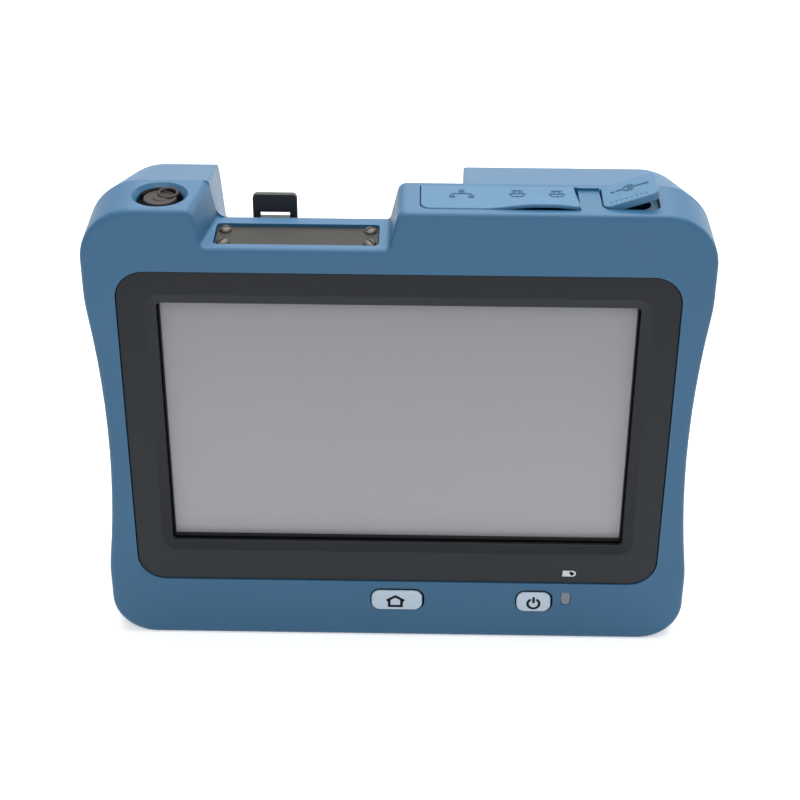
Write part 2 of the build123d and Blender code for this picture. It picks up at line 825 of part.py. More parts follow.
# Foam gasket that frames the panel
with BuildPart() as lcd_gasket:
    with BuildSketch(upright(touch_front_y)):
        with Locations((0, screen_mid_z)):
            Rectangle(panel_width, panel_height)
            Rectangle(
                screen_width - 2 * gasket_lip, screen_height - 2 * gasket_lip, mode=Mode.SUBTRACT
            )
    extrude(amount=gasket_thickness)
lcd_gasket.part.label = "lcd_gasket"
export_step(lcd_gasket.part, "parts/lcd_gasket.step")

# Touch glass
with BuildPart() as touch_panel:
    with BuildSketch(upright(lcd_front_y)):
        with Locations((0, screen_mid_z)):
            Rectangle(panel_width, panel_height)
    extrude(amount=touch_thickness)
touch_panel.part.label = "touch_panel"
export_step(touch_panel.part, "parts/touch_panel.step")

# Display module with its metal back pan
with BuildPart() as lcd_panel:
    with BuildSketch(upright(chassis_front_y)):
        with Locations((0, screen_mid_z)):
            Rectangle(panel_width, panel_height)
    extrude(amount=lcd_thickness)
    chamfer(lcd_panel.edges().filter_by(Axis.Y), gasket_thickness)
lcd_panel.part.label = "lcd_panel"
export_step(lcd_panel.part, "parts/lcd_panel.step")


def key(width, height, x):
    """A round-cornered key with a retaining flange behind the face."""
    with BuildPart() as cap:
        with BuildSketch(upright(cavity_front_y + slip)):
            with Locations((x, key_z)):
                RectangleRounded(width, height, key_radius)
        extrude(amount=cavity_front_y + slip - front_y + key_proud)
        chamfer(cap.faces().sort_by(Axis.Y)[0].edges(), key_proud / 3)
        with BuildSketch(upright(cavity_front_y + slip + key_flange_thickness)):
            with Locations((x, key_z)):
                RectangleRounded(width + 2 * key_flange, height + 2 * key_flange, key_radius)
        extrude(amount=key_flange_thickness)
    return cap.part


with BuildPart() as home_button:
    add(key(home_width, home_height, home_x))
home_button.part.label = "home_button"
export_step(home_button.part, "parts/home_button.step")

with BuildPart() as power_button:
    add(key(power_width, power_height, power_x))
power_button.part.label = "power_button"
export_step(power_button.part, "parts/power_button.step")

# Key board behind the face, with one switch behind each key
key_back_y = cavity_front_y + slip + key_flange_thickness
with BuildPart() as keypad_board:
    with BuildSketch(upright(key_board_y + board_thickness)):
        with Locations(((key_board_left + key_board_right) / 2, key_z)):
            RectangleRounded(key_board_right - key_board_left, key_board_height, 1)
    extrude(amount=board_thickness)
keypad_board.part.label = "keypad_board"
export_step(keypad_board.part, "parts/keypad_board.step")

with BuildPart() as key_switches:
    with BuildSketch(upright(key_board_y)):
        with Locations((home_x, key_z), (power_x, key_z)):
            Rectangle(switch_size, switch_size)
    extrude(amount=switch_height)
    with BuildSketch(upright(key_board_y - switch_height)):
        with Locations((home_x, key_z), (power_x, key_z)):
            Circle(switch_plunger_radius)
    extrude(amount=key_board_y - switch_height - key_back_y - key_travel - snug)
key_switches.part.label = "key_switches"
export_step(key_switches.part, "parts/key_switches.step")

# Light pipe from the charge lamp on the key board to the face
with BuildPart() as charge_light_pipe:
    with BuildSketch(upright(cavity_front_y)):
        with Locations((light_x, light_z)):
            add(light_outline(0))
    extrude(amount=face_wall - bezel_sink / 2)
    with BuildSketch(upright(key_board_y)):
        with Locations((light_x, light_z)):
            Circle(light_height / 2 + key_flange / 2)
    extrude(amount=key_board_y - cavity_front_y)
charge_light_pipe.part.label = "charge_light_pipe"
export_step(charge_light_pipe.part, "parts/charge_light_pipe.step")

# Chassis plate that clamps the panel and carries the main board on posts
with BuildPart() as chassis_frame:
    with BuildSketch(upright(chassis_back_y)):
        with Locations((0, (chassis_bottom + chassis_top) / 2)):
            RectangleRounded(2 * chassis_half_width, chassis_top - chassis_bottom, wall)
            with GridLocations(panel_width / 2, panel_height / 2, 2, 2):
                RectangleRounded(panel_width / 4, panel_height / 4, wall, mode=Mode.SUBTRACT)
        with Locations(*chassis_screw_spots):
            Circle(plate_screw_radius + snug, mode=Mode.SUBTRACT)
        with Locations(*case_screw_spots):
            Circle(case_boss_radius + slip, mode=Mode.SUBTRACT)
    extrude(amount=chassis_thickness)
    with BuildSketch(upright(board_front_y)):
        with Locations(*board_screw_spots):
            Circle(board_post_radius)
    extrude(amount=board_spacing)
    with BuildSketch(upright(board_front_y)):
        with Locations(*board_screw_spots):
            Circle(plate_screw_radius + thread_play)
    extrude(amount=board_spacing, mode=Mode.SUBTRACT)
chassis_frame.part.label = "chassis_frame"
export_step(chassis_frame.part, "parts/chassis_frame.step")

# Main board, with a shoulder that rises behind the sockets
with BuildPart() as main_board:
    with BuildSketch(upright(board_back_y)):
        with BuildLine():
            Polyline(
                (board_left, board_bottom),
                (board_right, board_bottom),
                (board_right, board_shoulder),
                (board_tower_right, board_shoulder),
                (board_tower_right, board_top),
                (board_tower_left, board_top),
                (board_tower_left, board_shoulder),
                (board_left, board_shoulder),
                close=True,
            )
        make_face()
        with Locations(*board_screw_spots):
            Circle(plate_screw_radius + snug, mode=Mode.SUBTRACT)
    extrude(amount=board_thickness)
main_board.part.label = "main_board"
export_step(main_board.part, "parts/main_board.step")

# Shield can over the processor
with BuildPart() as processor_shield:
    with BuildSketch(upright(board_back_y + shield_depth)):
        with Locations((shield_x, shield_z)):
            RectangleRounded(shield_width, shield_height, 1)
    extrude(amount=shield_depth)
processor_shield.part.label = "processor_shield"
export_step(processor_shield.part, "parts/processor_shield.step")


def screws(spots, seat_y, length, radius, head_radius, head_height):
    """Pan head screws that point to the screen, one at each spot."""
    with BuildPart() as group:
        with BuildSketch(upright(seat_y + head_height)):
            with Locations(*spots):
                Circle(head_radius)
        extrude(amount=head_height)
        with BuildSketch(upright(seat_y)):
            with Locations(*spots):
                Circle(radius)
        extrude(amount=length)
        with BuildSketch(upright(seat_y + head_height)):
            with Locations(*spots):
                Rectangle(head_radius * 1.4, head_height / 3)
                Rectangle(head_height / 3, head_radius * 1.4)
        extrude(amount=head_height / 2, mode=Mode.SUBTRACT)
    return group.part


with BuildPart() as case_screws:
    shank = case_screw_seat_y - parting_y + case_screw_reach
    add(screws(case_screw_spots, case_screw_seat_y, shank, case_screw_radius,
               case_screw_head_radius, case_screw_head))
case_screws.part.label = "case_screws"
export_step(case_screws.part, "parts/case_screws.step")

with BuildPart() as chassis_screws:
    shank = chassis_thickness + plate_screw_length - slip
    add(screws(chassis_screw_spots, chassis_back_y, shank, plate_screw_radius,
               plate_screw_head_radius, plate_screw_dome))
chassis_screws.part.label = "chassis_screws"
export_step(chassis_screws.part, "parts/chassis_screws.step")

with BuildPart() as board_screws:
    shank = board_thickness + board_spacing - slip
    add(screws(board_screw_spots, board_back_y, shank, plate_screw_radius,
               plate_screw_head_radius, plate_screw_dome))
board_screws.part.label = "board_screws"
export_step(board_screws.part, "parts/board_screws.step")

# Blanking plate of the spare port, on its gasket
with BuildPart() as cover_plate_gasket:
    with BuildSketch(Plane.XY.offset(plate_seat_z)):
        with Locations((plate_mid_x, plate_mid_y)):
            RectangleRounded(plate_length, plate_depth, plate_radius)
            RectangleRounded(plate_window_length, plate_window_depth, plate_radius, mode=Mode.SUBTRACT)
        with Locations(*plate_screw_spots):
            Circle(plate_screw_radius + snug, mode=Mode.SUBTRACT)
    extrude(amount=plate_gasket_thickness)
cover_plate_gasket.part.label = "cover_plate_gasket"
export_step(cover_plate_gasket.part, "parts/cover_plate_gasket.step")

plate_bottom_z = plate_seat_z + plate_gasket_thickness
plate_top_z = plate_bottom_z + plate_thickness
with BuildPart() as port_cover_plate:
    with BuildSketch(Plane.XY.offset(plate_bottom_z)):
        with Locations((plate_mid_x, plate_mid_y)):
            RectangleRounded(plate_length, plate_depth, plate_radius)
        with Locations(*plate_screw_spots):
            Circle(plate_screw_radius + snug, mode=Mode.SUBTRACT)
    extrude(amount=plate_thickness)
port_cover_plate.part.label = "port_cover_plate"
export_step(port_cover_plate.part, "parts/port_cover_plate.step")

with BuildPart() as cover_plate_screws:
    with BuildSketch(Plane.XY.offset(plate_top_z)):
        with Locations(*plate_screw_spots):
            Circle(plate_screw_head_radius)
    extrude(amount=plate_screw_dome)
    chamfer(cover_plate_screws.edges().group_by(Axis.Z)[-1], plate_screw_dome / 2)
    with BuildSketch(Plane.XY.offset(plate_top_z)):
        with Locations(*plate_screw_spots):
            Circle(plate_screw_radius)
    extrude(amount=-plate_screw_length)
    with BuildSketch(Plane.XY.offset(plate_top_z + plate_screw_dome)):
        with Locations(*plate_screw_spots):
            Rectangle(2 * plate_screw_head_radius, plate_screw_radius / 2)
    extrude(amount=-plate_screw_dome / 2, mode=Mode.SUBTRACT)
cover_plate_screws.part.label = "cover_plate_screws"
export_step(cover_plate_screws.part, "parts/cover_plate_screws.step")

# Optical port, from the flange that closes the well up to the dust cap
flange_top_z = well_floor_z
barrel_top_z = flange_top_z + port_barrel_height
with BuildPart() as optical_baseplate:
    with BuildSketch(Plane.XY.offset(flange_top_z)):
        with Locations((port_x, port_y)):
            Circle(port_well_radius + port_well_wall)
            Rectangle(
                2 * port_flange_half_width,
                2 * (port_y - cavity_front_y - snug),
                mode=Mode.INTERSECT,
            )
    extrude(amount=-port_flange_thickness)
    with BuildSketch(Plane.XY.offset(flange_top_z)):
        with Locations((port_x, port_y)):
            Circle(port_barrel_radius)
    extrude(amount=port_barrel_height)
    with BuildSketch(Plane.XY.offset(flange_top_z - port_flange_thickness)):
        with Locations((port_x, port_y)):
            Circle(port_tail_radius)
    extrude(amount=-port_tail_length)
    with BuildSketch(Plane.XY.offset(barrel_top_z)):
        with Locations((port_x, port_y)):
            Circle(ferrule_sleeve_radius + thread_play)
    extrude(amount=-ferrule_sleeve_length, mode=Mode.SUBTRACT)
    with BuildSketch(Plane.XY.offset(flange_top_z - port_flange_thickness - port_tail_length)):
        with Locations((port_x, port_y)):
            Circle(fiber_radius + thread_play)
    extrude(amount=port_tail_length, mode=Mode.SUBTRACT)
optical_baseplate.part.label = "optical_baseplate"
export_step(optical_baseplate.part, "parts/optical_baseplate.step")

with BuildPart() as ferrule_sleeve:
    with BuildSketch(Plane.XY.offset(barrel_top_z)):
        with Locations((port_x, port_y)):
            Circle(ferrule_sleeve_radius)
            Circle(ferrule_radius, mode=Mode.SUBTRACT)
    extrude(amount=-ferrule_sleeve_length)
ferrule_sleeve.part.label = "ferrule_sleeve"
export_step(ferrule_sleeve.part, "parts/ferrule_sleeve.step")

adapter_bottom_z = flange_top_z + slip
neck_bottom_z = adapter_bottom_z + adapter_height
with BuildPart() as connector_adapter:
    with BuildSketch(Plane.XY.offset(adapter_bottom_z)):
        with Locations((port_x, port_y)):
            Circle(adapter_radius)
    extrude(amount=adapter_height)
    with BuildSketch(Plane.XY.offset(adapter_bottom_z)):
        with Locations((port_x, port_y)):
            with PolarLocations(adapter_radius, 8):
                Circle(slip)
    extrude(amount=adapter_height, mode=Mode.SUBTRACT)
    with BuildSketch(Plane.XY.offset(neck_bottom_z)):
        with Locations((port_x, port_y)):
            Circle(adapter_neck_radius)
    extrude(amount=adapter_neck_height)
    with BuildSketch(Plane.XY.offset(adapter_bottom_z)):
        with Locations((port_x, port_y)):
            Circle(port_barrel_radius + snug / 2)
    extrude(amount=adapter_height + adapter_neck_height, mode=Mode.SUBTRACT)
connector_adapter.part.label = "connector_adapter"
export_step(connector_adapter.part, "parts/connector_adapter.step")

cap_bottom_z = neck_bottom_z + slip
cap_top_z = cap_bottom_z + cap_height
with BuildPart() as dust_cap:
    with BuildSketch(Plane.XY.offset(cap_bottom_z)):
        with Locations((port_x, port_y)):
            Circle(cap_radius)
    extrude(amount=cap_height)
    fillet(dust_cap.edges().group_by(Axis.Z)[-1], cap_edge_radius)
    with BuildSketch(Plane.XY.offset(cap_bottom_z)):
        with Locations((port_x, port_y)):
            Circle(adapter_neck_radius + snug)
    extrude(amount=adapter_neck_height + slip, mode=Mode.SUBTRACT)
    # Skirt that closes the mouth of the well
    with BuildSketch(Plane.XY.offset(case_height - cap_skirt_sink)):
        with Locations((port_x, port_y)):
            Circle(cap_skirt_radius)
            Circle(cap_radius - slip, mode=Mode.SUBTRACT)
    extrude(amount=-cap_skirt_thickness)
dust_cap.part.label = "dust_cap"
export_step(dust_cap.part, "parts/dust_cap.step")

# Rubber cover over the network and data sockets, hinged on its anchor at the left end
with BuildPart() as data_port_cover:
    with BuildSketch(Plane.XY.offset(data_cover_top - data_cover_thickness)) as flap:
        with Locations((data_cover_mid_x, data_cover_mid_y)):
            Rectangle(data_cover_length, data_cover_depth)
        fillet(flap.vertices().sort_by(Axis.X)[:2].sort_by(Axis.Y)[0], data_cover_corner)
    extrude(amount=data_cover_thickness)
    fillet(data_port_cover.faces().sort_by(Axis.Z)[-1].edges(), data_cover_thickness / 4)
data_port_cover.part.label = "data_port_cover"
export_step(data_port_cover.part, "parts/data_port_cover.step")

with BuildPart() as data_cover_anchor:
    with BuildSketch(Plane.XY.offset(data_seat_z)):
        with Locations((data_cover_left + anchor_length / 2, data_cover_mid_y)):
            Rectangle(anchor_length, anchor_width)
    extrude(amount=-anchor_depth)
data_cover_anchor.part.label = "data_cover_anchor"
export_step(data_cover_anchor.part, "parts/data_cover_anchor.step")

# Power inlet cover, drawn on its tilted plane so that it rests propped open
tilt = radians(dc_cover_tilt)
dc_hinge_z = dc_cover_top
dc_plane = Plane(
    origin=(dc_cover_left, dc_cover_mid_y, dc_hinge_z),
    x_dir=(cos(tilt), 0, sin(tilt)),
    z_dir=(-sin(tilt), 0, cos(tilt)),
)
with BuildPart() as power_port_cover:
    with BuildSketch(dc_plane):
        with Locations((dc_cover_length / 2, 0)):
            RectangleRounded(dc_cover_length, dc_cover_depth, dc_cover_corner)
    extrude(amount=-dc_cover_thickness)
    cover_top = power_port_cover.faces().sort_by(Axis.Z)[-1]
    fillet(cover_top.edges(), dc_cover_thickness / 6)
power_port_cover.part.label = "power_port_cover"
export_step(power_port_cover.part, "parts/power_port_cover.step")

# Sockets on the board
with BuildPart() as lan_socket:
    with BuildSketch(Plane.XY.offset(socket_top_z)):
        with Locations((lan_x, board_front_y - lan_depth / 2)):
            Rectangle(lan_width, lan_depth)
    extrude(amount=-lan_length)
    with BuildSketch(Plane.XY.offset(socket_top_z)):
        with Locations((lan_x, board_front_y - lan_depth / 2)):
            Rectangle(lan_mouth_width, lan_mouth_depth)
    extrude(amount=-lan_mouth_length, mode=Mode.SUBTRACT)
lan_socket.part.label = "lan_socket"
export_step(lan_socket.part, "parts/lan_socket.step")

with BuildPart() as usb_socket:
    with BuildSketch(Plane.XY.offset(socket_top_z)):
        with Locations((usb_x, board_front_y - usb_depth / 2)):
            Rectangle(usb_width, usb_depth)
    extrude(amount=-usb_length)
    with BuildSketch(Plane.XY.offset(socket_top_z)):
        with Locations((usb_x, board_front_y - usb_depth / 2)):
            Rectangle(usb_width - 2 * socket_wall, usb_depth - 2 * socket_wall)
            Rectangle(usb_width / 4, usb_depth - 4 * socket_wall, mode=Mode.SUBTRACT)
    extrude(amount=-usb_length * 0.8, mode=Mode.SUBTRACT)
usb_socket.part.label = "usb_socket"
export_step(usb_socket.part, "parts/usb_socket.step")

with BuildPart() as micro_usb_socket:
    with BuildSketch(Plane.XY.offset(socket_top_z)):
        with Locations((micro_x, board_front_y - micro_depth / 2)):
            Rectangle(micro_width, micro_depth)
    extrude(amount=-micro_length)
    with BuildSketch(Plane.XY.offset(socket_top_z)):
        with Locations((micro_x, board_front_y - micro_depth / 2)):
            Rectangle(micro_width - 2 * socket_wall, micro_depth - 2 * socket_wall)
            Rectangle(micro_width / 4, micro_depth / 2, mode=Mode.SUBTRACT)
    extrude(amount=-micro_length * 0.8, mode=Mode.SUBTRACT)
micro_usb_socket.part.label = "micro_usb_socket"
export_step(micro_usb_socket.part, "parts/micro_usb_socket.step")

with BuildPart() as dc_jack:
    with BuildSketch(Plane.XY.offset(dc_jack_top)):
        with Locations((dc_cover_mid_x, dc_jack_y)):
            RectangleRounded(dc_jack_size, dc_jack_size, 1)
            Circle(dc_jack_bore, mode=Mode.SUBTRACT)
    extrude(amount=-dc_jack_length)
    with BuildSketch(Plane.XY.offset(dc_jack_top - dc_jack_length)):
        with Locations((dc_cover_mid_x, dc_jack_y)):
            Circle(dc_jack_bore)
    extrude(amount=socket_wall * 4)
    with BuildSketch(Plane.XY.offset(dc_jack_top - dc_jack_length)):
        with Locations((dc_cover_mid_x, dc_jack_y)):
            Circle(dc_pin_radius)
    extrude(amount=dc_jack_length - socket_wall * 4)
dc_jack.part.label = "dc_jack"
export_step(dc_jack.part, "parts/dc_jack.step")

# Stylus: a tabbed head over a flat body that tapers to its tip
with BuildPart() as stylus:
    with BuildSketch(upright(stylus_y + stylus_head_depth / 2)) as head:
        with Locations((stylus_x, (stylus_head_top + stylus_head_bottom) / 2)):
            Rectangle(stylus_head_width, stylus_head_top - stylus_head_bottom)
        fillet(head.vertices().group_by(Axis.Y)[-1], stylus_head_radius)
        with Locations((stylus_x, stylus_slot_z)):
            Rectangle(stylus_slot_width, stylus_slot_height, mode=Mode.SUBTRACT)
    extrude(amount=stylus_head_depth)
    with BuildSketch(Plane.XY.offset(stylus_head_bottom)):
        with Locations((stylus_x, stylus_y)):
            RectangleRounded(stylus_body_width, stylus_body_depth, stylus_tip_size)
    extrude(amount=stylus_tip_length - stylus_length)
    with BuildSketch(Plane.XY.offset(stylus_tip_z + stylus_tip_length)):
        with Locations((stylus_x, stylus_y)):
            RectangleRounded(stylus_body_width, stylus_body_depth, stylus_tip_size)
    with BuildSketch(Plane.XY.offset(stylus_tip_z)):
        with Locations((stylus_x, stylus_y)):
            RectangleRounded(stylus_tip_size * 2, stylus_tip_size, stylus_tip_size / 3)
    loft()
stylus.part.label = "stylus"
export_step(stylus.part, "parts/stylus.step")

with BuildPart() as stylus_sleeve:
    with BuildSketch(Plane.XY.offset(sleeve_top_z)):
        with Locations((stylus_x, stylus_y)):
            RectangleRounded(sleeve_width, sleeve_depth, sleeve_wall)
    extrude(amount=stylus_tip_z - slip - sleeve_wall - sleeve_top_z)
    with BuildSketch(Plane.XY.offset(sleeve_top_z)):
        with Locations((stylus_x, stylus_y)):
            RectangleRounded(
                stylus_body_width + 2 * slip, stylus_body_depth + 2 * slip, stylus_tip_size + slip
            )
    extrude(amount=stylus_tip_z - slip - sleeve_top_z, mode=Mode.SUBTRACT)
stylus_sleeve.part.label = "stylus_sleeve"
export_step(stylus_sleeve.part, "parts/stylus_sleeve.step")

# Stand: a ribbed leg with knuckles along its top edge, its two pins and its rubber foot
with BuildPart() as stand_leg:
    with BuildSketch(upright(back_y - slip)) as leg:
        with Locations((0, (stand_bottom + stand_hinge_z) / 2)):
            Rectangle(stand_width, stand_hinge_z - stand_bottom)
        fillet(leg.vertices().group_by(Axis.Y)[0], stand_knuckle_radius)
    extrude(amount=stand_thickness)
    with BuildSketch(Plane.YZ):
        with Locations((stand_pin_y, stand_hinge_z)):
            Circle(stand_knuckle_radius)
    extrude(amount=stand_width / 2, both=True)
    with BuildSketch(upright(back_y - slip)):
        with Locations((0, (stand_bottom + stand_hinge_z) / 2 + stand_pad_height / 2)):
            with GridLocations(stand_rib_pitch, 0, 5, 1):
                SlotOverall(
                    stand_hinge_z - stand_bottom - 4 * stand_pad_height,
                    stand_rib_pitch * 2 / 3,
                    rotation=90,
                )
    extrude(amount=stand_rib_depth, mode=Mode.SUBTRACT)
    with BuildSketch(Plane.YZ.offset(-stand_width / 2)):
        with Locations((stand_pin_y, stand_hinge_z)):
            Circle(stand_pin_radius + thread_play)
    extrude(amount=stand_pin_grip, mode=Mode.SUBTRACT)
    with BuildSketch(Plane.YZ.offset(stand_width / 2)):
        with Locations((stand_pin_y, stand_hinge_z)):
            Circle(stand_pin_radius + thread_play)
    extrude(amount=-stand_pin_grip, mode=Mode.SUBTRACT)
    with BuildSketch(upright(back_y - slip)):
        with Locations((0, stand_bottom + stand_pad_height)):
            SlotOverall(stand_width - 4 * stand_pad_height + 2 * snug, stand_pad_height + 2 * snug)
    extrude(amount=stand_rib_depth, mode=Mode.SUBTRACT)
stand_leg.part.label = "stand_leg"
export_step(stand_leg.part, "parts/stand_leg.step")

with BuildPart() as stand_foot_pad:
    with BuildSketch(upright(back_y - slip)):
        with Locations((0, stand_bottom + stand_pad_height)):
            SlotOverall(stand_width - 4 * stand_pad_height, stand_pad_height)
    extrude(amount=stand_rib_depth)
stand_foot_pad.part.label = "stand_foot_pad"
export_step(stand_foot_pad.part, "parts/stand_foot_pad.step")

with BuildPart() as stand_hinge_pins:
    pin_start = stand_width / 2 - stand_pin_grip + slip
    pin_end = stand_width / 2 + stand_pin_hold
    for side in (-1, 1):
        with BuildSketch(Plane.YZ.offset(side * pin_start)):
            with Locations((stand_pin_y, stand_hinge_z)):
                Circle(stand_pin_radius)
        extrude(amount=side * (pin_end - pin_start))
stand_hinge_pins.part.label = "stand_hinge_pins"
export_step(stand_hinge_pins.part, "parts/stand_hinge_pins.step")

# Battery, its door and the door's captive screws
with BuildPart() as battery_pack:
    with BuildSketch(upright(back_y - door_thickness - snug)):
        with Locations((0, battery_mid_z)):
            RectangleRounded(battery_width, battery_height, battery_play)
    extrude(amount=battery_thickness)
battery_pack.part.label = "battery_pack"
export_step(battery_pack.part, "parts/battery_pack.step")

door_front_y = back_y - door_thickness
with BuildPart() as battery_door:
    with BuildSketch(upright(back_y)):
        with Locations((0, battery_mid_z)):
            RectangleRounded(door_width, door_height, door_radius)
    extrude(amount=door_thickness)
    chamfer(battery_door.faces().sort_by(Axis.Y)[-1].edges(), slip)
    with BuildSketch(upright(back_y)):
        with Locations((-door_screw_x, battery_mid_z), (door_screw_x, battery_mid_z)):
            Circle(door_screw_head_radius + snug)
    extrude(amount=door_screw_head + slip, mode=Mode.SUBTRACT)
    with BuildSketch(upright(back_y)):
        with Locations((-door_screw_x, battery_mid_z), (door_screw_x, battery_mid_z)):
            Circle(door_screw_radius + snug)
    extrude(amount=door_thickness, mode=Mode.SUBTRACT)
battery_door.part.label = "battery_door"
export_step(battery_door.part, "parts/battery_door.step")

with BuildPart() as battery_door_screws:
    spots = [(-door_screw_x, battery_mid_z), (door_screw_x, battery_mid_z)]
    add(screws(spots, back_y - door_screw_head - slip, door_screw_length, door_screw_radius,
               door_screw_head_radius, door_screw_head))
battery_door_screws.part.label = "battery_door_screws"
export_step(battery_door_screws.part, "parts/battery_door_screws.step")

# Optical test module with cooling fins, fibre spool and the pigtail to the port
with BuildPart() as otdr_module:
    module_mid_x = (module_left + module_right) / 2
    module_mid_z = (module_bottom + module_top) / 2
    with BuildSketch(upright(board_back_y + module_depth)):
        with Locations((module_mid_x, module_mid_z)):
            RectangleRounded(module_width, module_top - module_bottom, 1)
    extrude(amount=module_depth)
    with BuildSketch(upright(board_back_y + module_depth)):
        with Locations((module_mid_x, module_mid_z)):
            with GridLocations(0, module_fin_pitch, 1, 9):
                Rectangle(module_width, module_fin_pitch / 2)
    extrude(amount=module_depth / 5, mode=Mode.SUBTRACT)
otdr_module.part.label = "otdr_module"
export_step(otdr_module.part, "parts/otdr_module.step")

with BuildPart() as fiber_spool:
    with BuildSketch(upright(board_back_y + spool_height)):
        with Locations((spool_x, spool_z)):
            Circle(spool_radius)
    extrude(amount=spool_flange)
    with BuildSketch(upright(board_back_y + spool_flange)):
        with Locations((spool_x, spool_z)):
            Circle(spool_radius)
    extrude(amount=spool_flange)
    with BuildSketch(upright(board_back_y + spool_height)):
        with Locations((spool_x, spool_z)):
            Circle(spool_hub_radius)
    extrude(amount=spool_height)
fiber_spool.part.label = "fiber_spool"
export_step(fiber_spool.part, "parts/fiber_spool.step")

# Speaker behind its slots
with BuildPart() as speaker:
    with BuildSketch(upright(back_y - wall)):
        with Locations((speaker_x, speaker_z)):
            Circle(speaker_radius)
    extrude(amount=speaker_height)
speaker.part.label = "speaker"
export_step(speaker.part, "parts/speaker.step")
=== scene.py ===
import json
import math

import bmesh
import bpy
from mathutils import Matrix, Vector

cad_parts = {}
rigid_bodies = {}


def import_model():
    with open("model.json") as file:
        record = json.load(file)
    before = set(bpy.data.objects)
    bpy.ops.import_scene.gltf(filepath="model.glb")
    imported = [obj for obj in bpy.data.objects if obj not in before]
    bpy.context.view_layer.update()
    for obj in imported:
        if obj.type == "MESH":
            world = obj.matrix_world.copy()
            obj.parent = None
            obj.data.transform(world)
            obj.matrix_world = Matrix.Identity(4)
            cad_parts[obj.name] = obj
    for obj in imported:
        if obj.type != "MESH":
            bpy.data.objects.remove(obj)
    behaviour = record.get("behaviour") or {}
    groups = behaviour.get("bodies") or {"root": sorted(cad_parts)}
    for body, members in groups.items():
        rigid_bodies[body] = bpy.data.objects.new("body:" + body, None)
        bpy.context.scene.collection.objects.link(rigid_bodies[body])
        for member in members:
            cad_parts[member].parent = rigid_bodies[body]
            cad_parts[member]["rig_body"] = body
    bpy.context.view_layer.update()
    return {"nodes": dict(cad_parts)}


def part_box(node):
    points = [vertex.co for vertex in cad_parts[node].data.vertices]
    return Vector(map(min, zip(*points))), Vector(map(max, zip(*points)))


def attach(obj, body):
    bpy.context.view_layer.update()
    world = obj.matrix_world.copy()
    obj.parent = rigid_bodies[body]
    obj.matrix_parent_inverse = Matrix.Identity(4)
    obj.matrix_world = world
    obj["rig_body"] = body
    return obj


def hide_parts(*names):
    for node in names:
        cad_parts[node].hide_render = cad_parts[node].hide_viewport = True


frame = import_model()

nodes = frame["nodes"]
scene = bpy.context.scene
MM = 0.001

# Camera: the tester stands on its base and is seen from above the top edge of its screen,
# a little to the right of its middle.
camera_data = bpy.data.cameras.new("camera")
camera_data.lens = 81.39
camera_data.sensor_width = 36
camera = bpy.data.objects.new("camera", camera_data)
camera.location = (0.00788, -0.5360, 0.4100)
camera.rotation_euler = (math.radians(58.180), math.radians(-0.257), math.radians(0.975))
scene.collection.objects.link(camera)
scene.camera = camera
scene.view_settings.view_transform = "Standard"

# Studio: a wide soft box overhead, one behind that skims the top, two small fills and a white
# surround. It lights little, but the camera, glossy pieces and clear pieces see it plain white.
WHITE = (1, 1, 1, 1)


def softbox(name, place, aim, size, power):
    """A square area lamp turned towards a point."""
    data = bpy.data.lights.new(name, "AREA")
    data.size = size
    data.energy = power
    lamp = bpy.data.objects.new(name, data)
    lamp.location = place
    lamp.rotation_euler = (Vector(aim) - Vector(place)).to_track_quat("-Z", "Y").to_euler()
    scene.collection.objects.link(lamp)


case_middle = (0, 0, 0.08)
softbox("top_light", (0.1, 0.2, 1.1), case_middle, size=1.0, power=11)
softbox("back_light", (0.0, 1.2, 1.0), case_middle, size=1.0, power=4)
softbox("front_light", (-0.1, -0.65, 0.85), (0, -0.25, 0), size=0.5, power=2.6)
softbox("right_light", (1.0, 0.7, 0.4), case_middle, size=0.7, power=2)


def combined(tree, operation, one, other):
    """The result of a Math node on two sockets, or on a socket and a number."""
    step = tree.nodes.new("ShaderNodeMath")
    step.operation = operation
    tree.links.new(one, step.inputs[0])
    if isinstance(other, bpy.types.NodeSocket):
        tree.links.new(other, step.inputs[1])
    else:
        step.inputs[1].default_value = other
    return step.outputs["Value"]


def stretched(tree, value, start=0.0, end=1.0, low=0.0, high=1.0):
    """A socket in which start to end has become low to high."""
    step = tree.nodes.new("ShaderNodeMapRange")
    numbers = {"From Min": start, "From Max": end, "To Min": low, "To Max": high}
    for name, number in numbers.items():
        step.inputs[name].default_value = number
    tree.links.new(value, step.inputs["Value"])
    return step.outputs["Result"]


def seen_rays(tree):
    """A socket that is 1 where the camera, a glossy piece or a clear piece looks straight at it."""
    rays = tree.nodes.new("ShaderNodeLightPath").outputs
    plain = combined(tree, "MAXIMUM", rays["Is Camera Ray"], rays["Is Transmission Ray"])
    return combined(tree, "MAXIMUM", plain, rays["Is Glossy Ray"])


world = bpy.data.worlds.new("surround")
scene.world = world
world.use_nodes = True
AMBIENT = 0.28
background = world.node_tree.nodes["Background"]
background.inputs["Color"].default_value = WHITE
brightness = stretched(world.node_tree, seen_rays(world.node_tree), low=AMBIENT)
world.node_tree.links.new(brightness, background.inputs["Strength"])

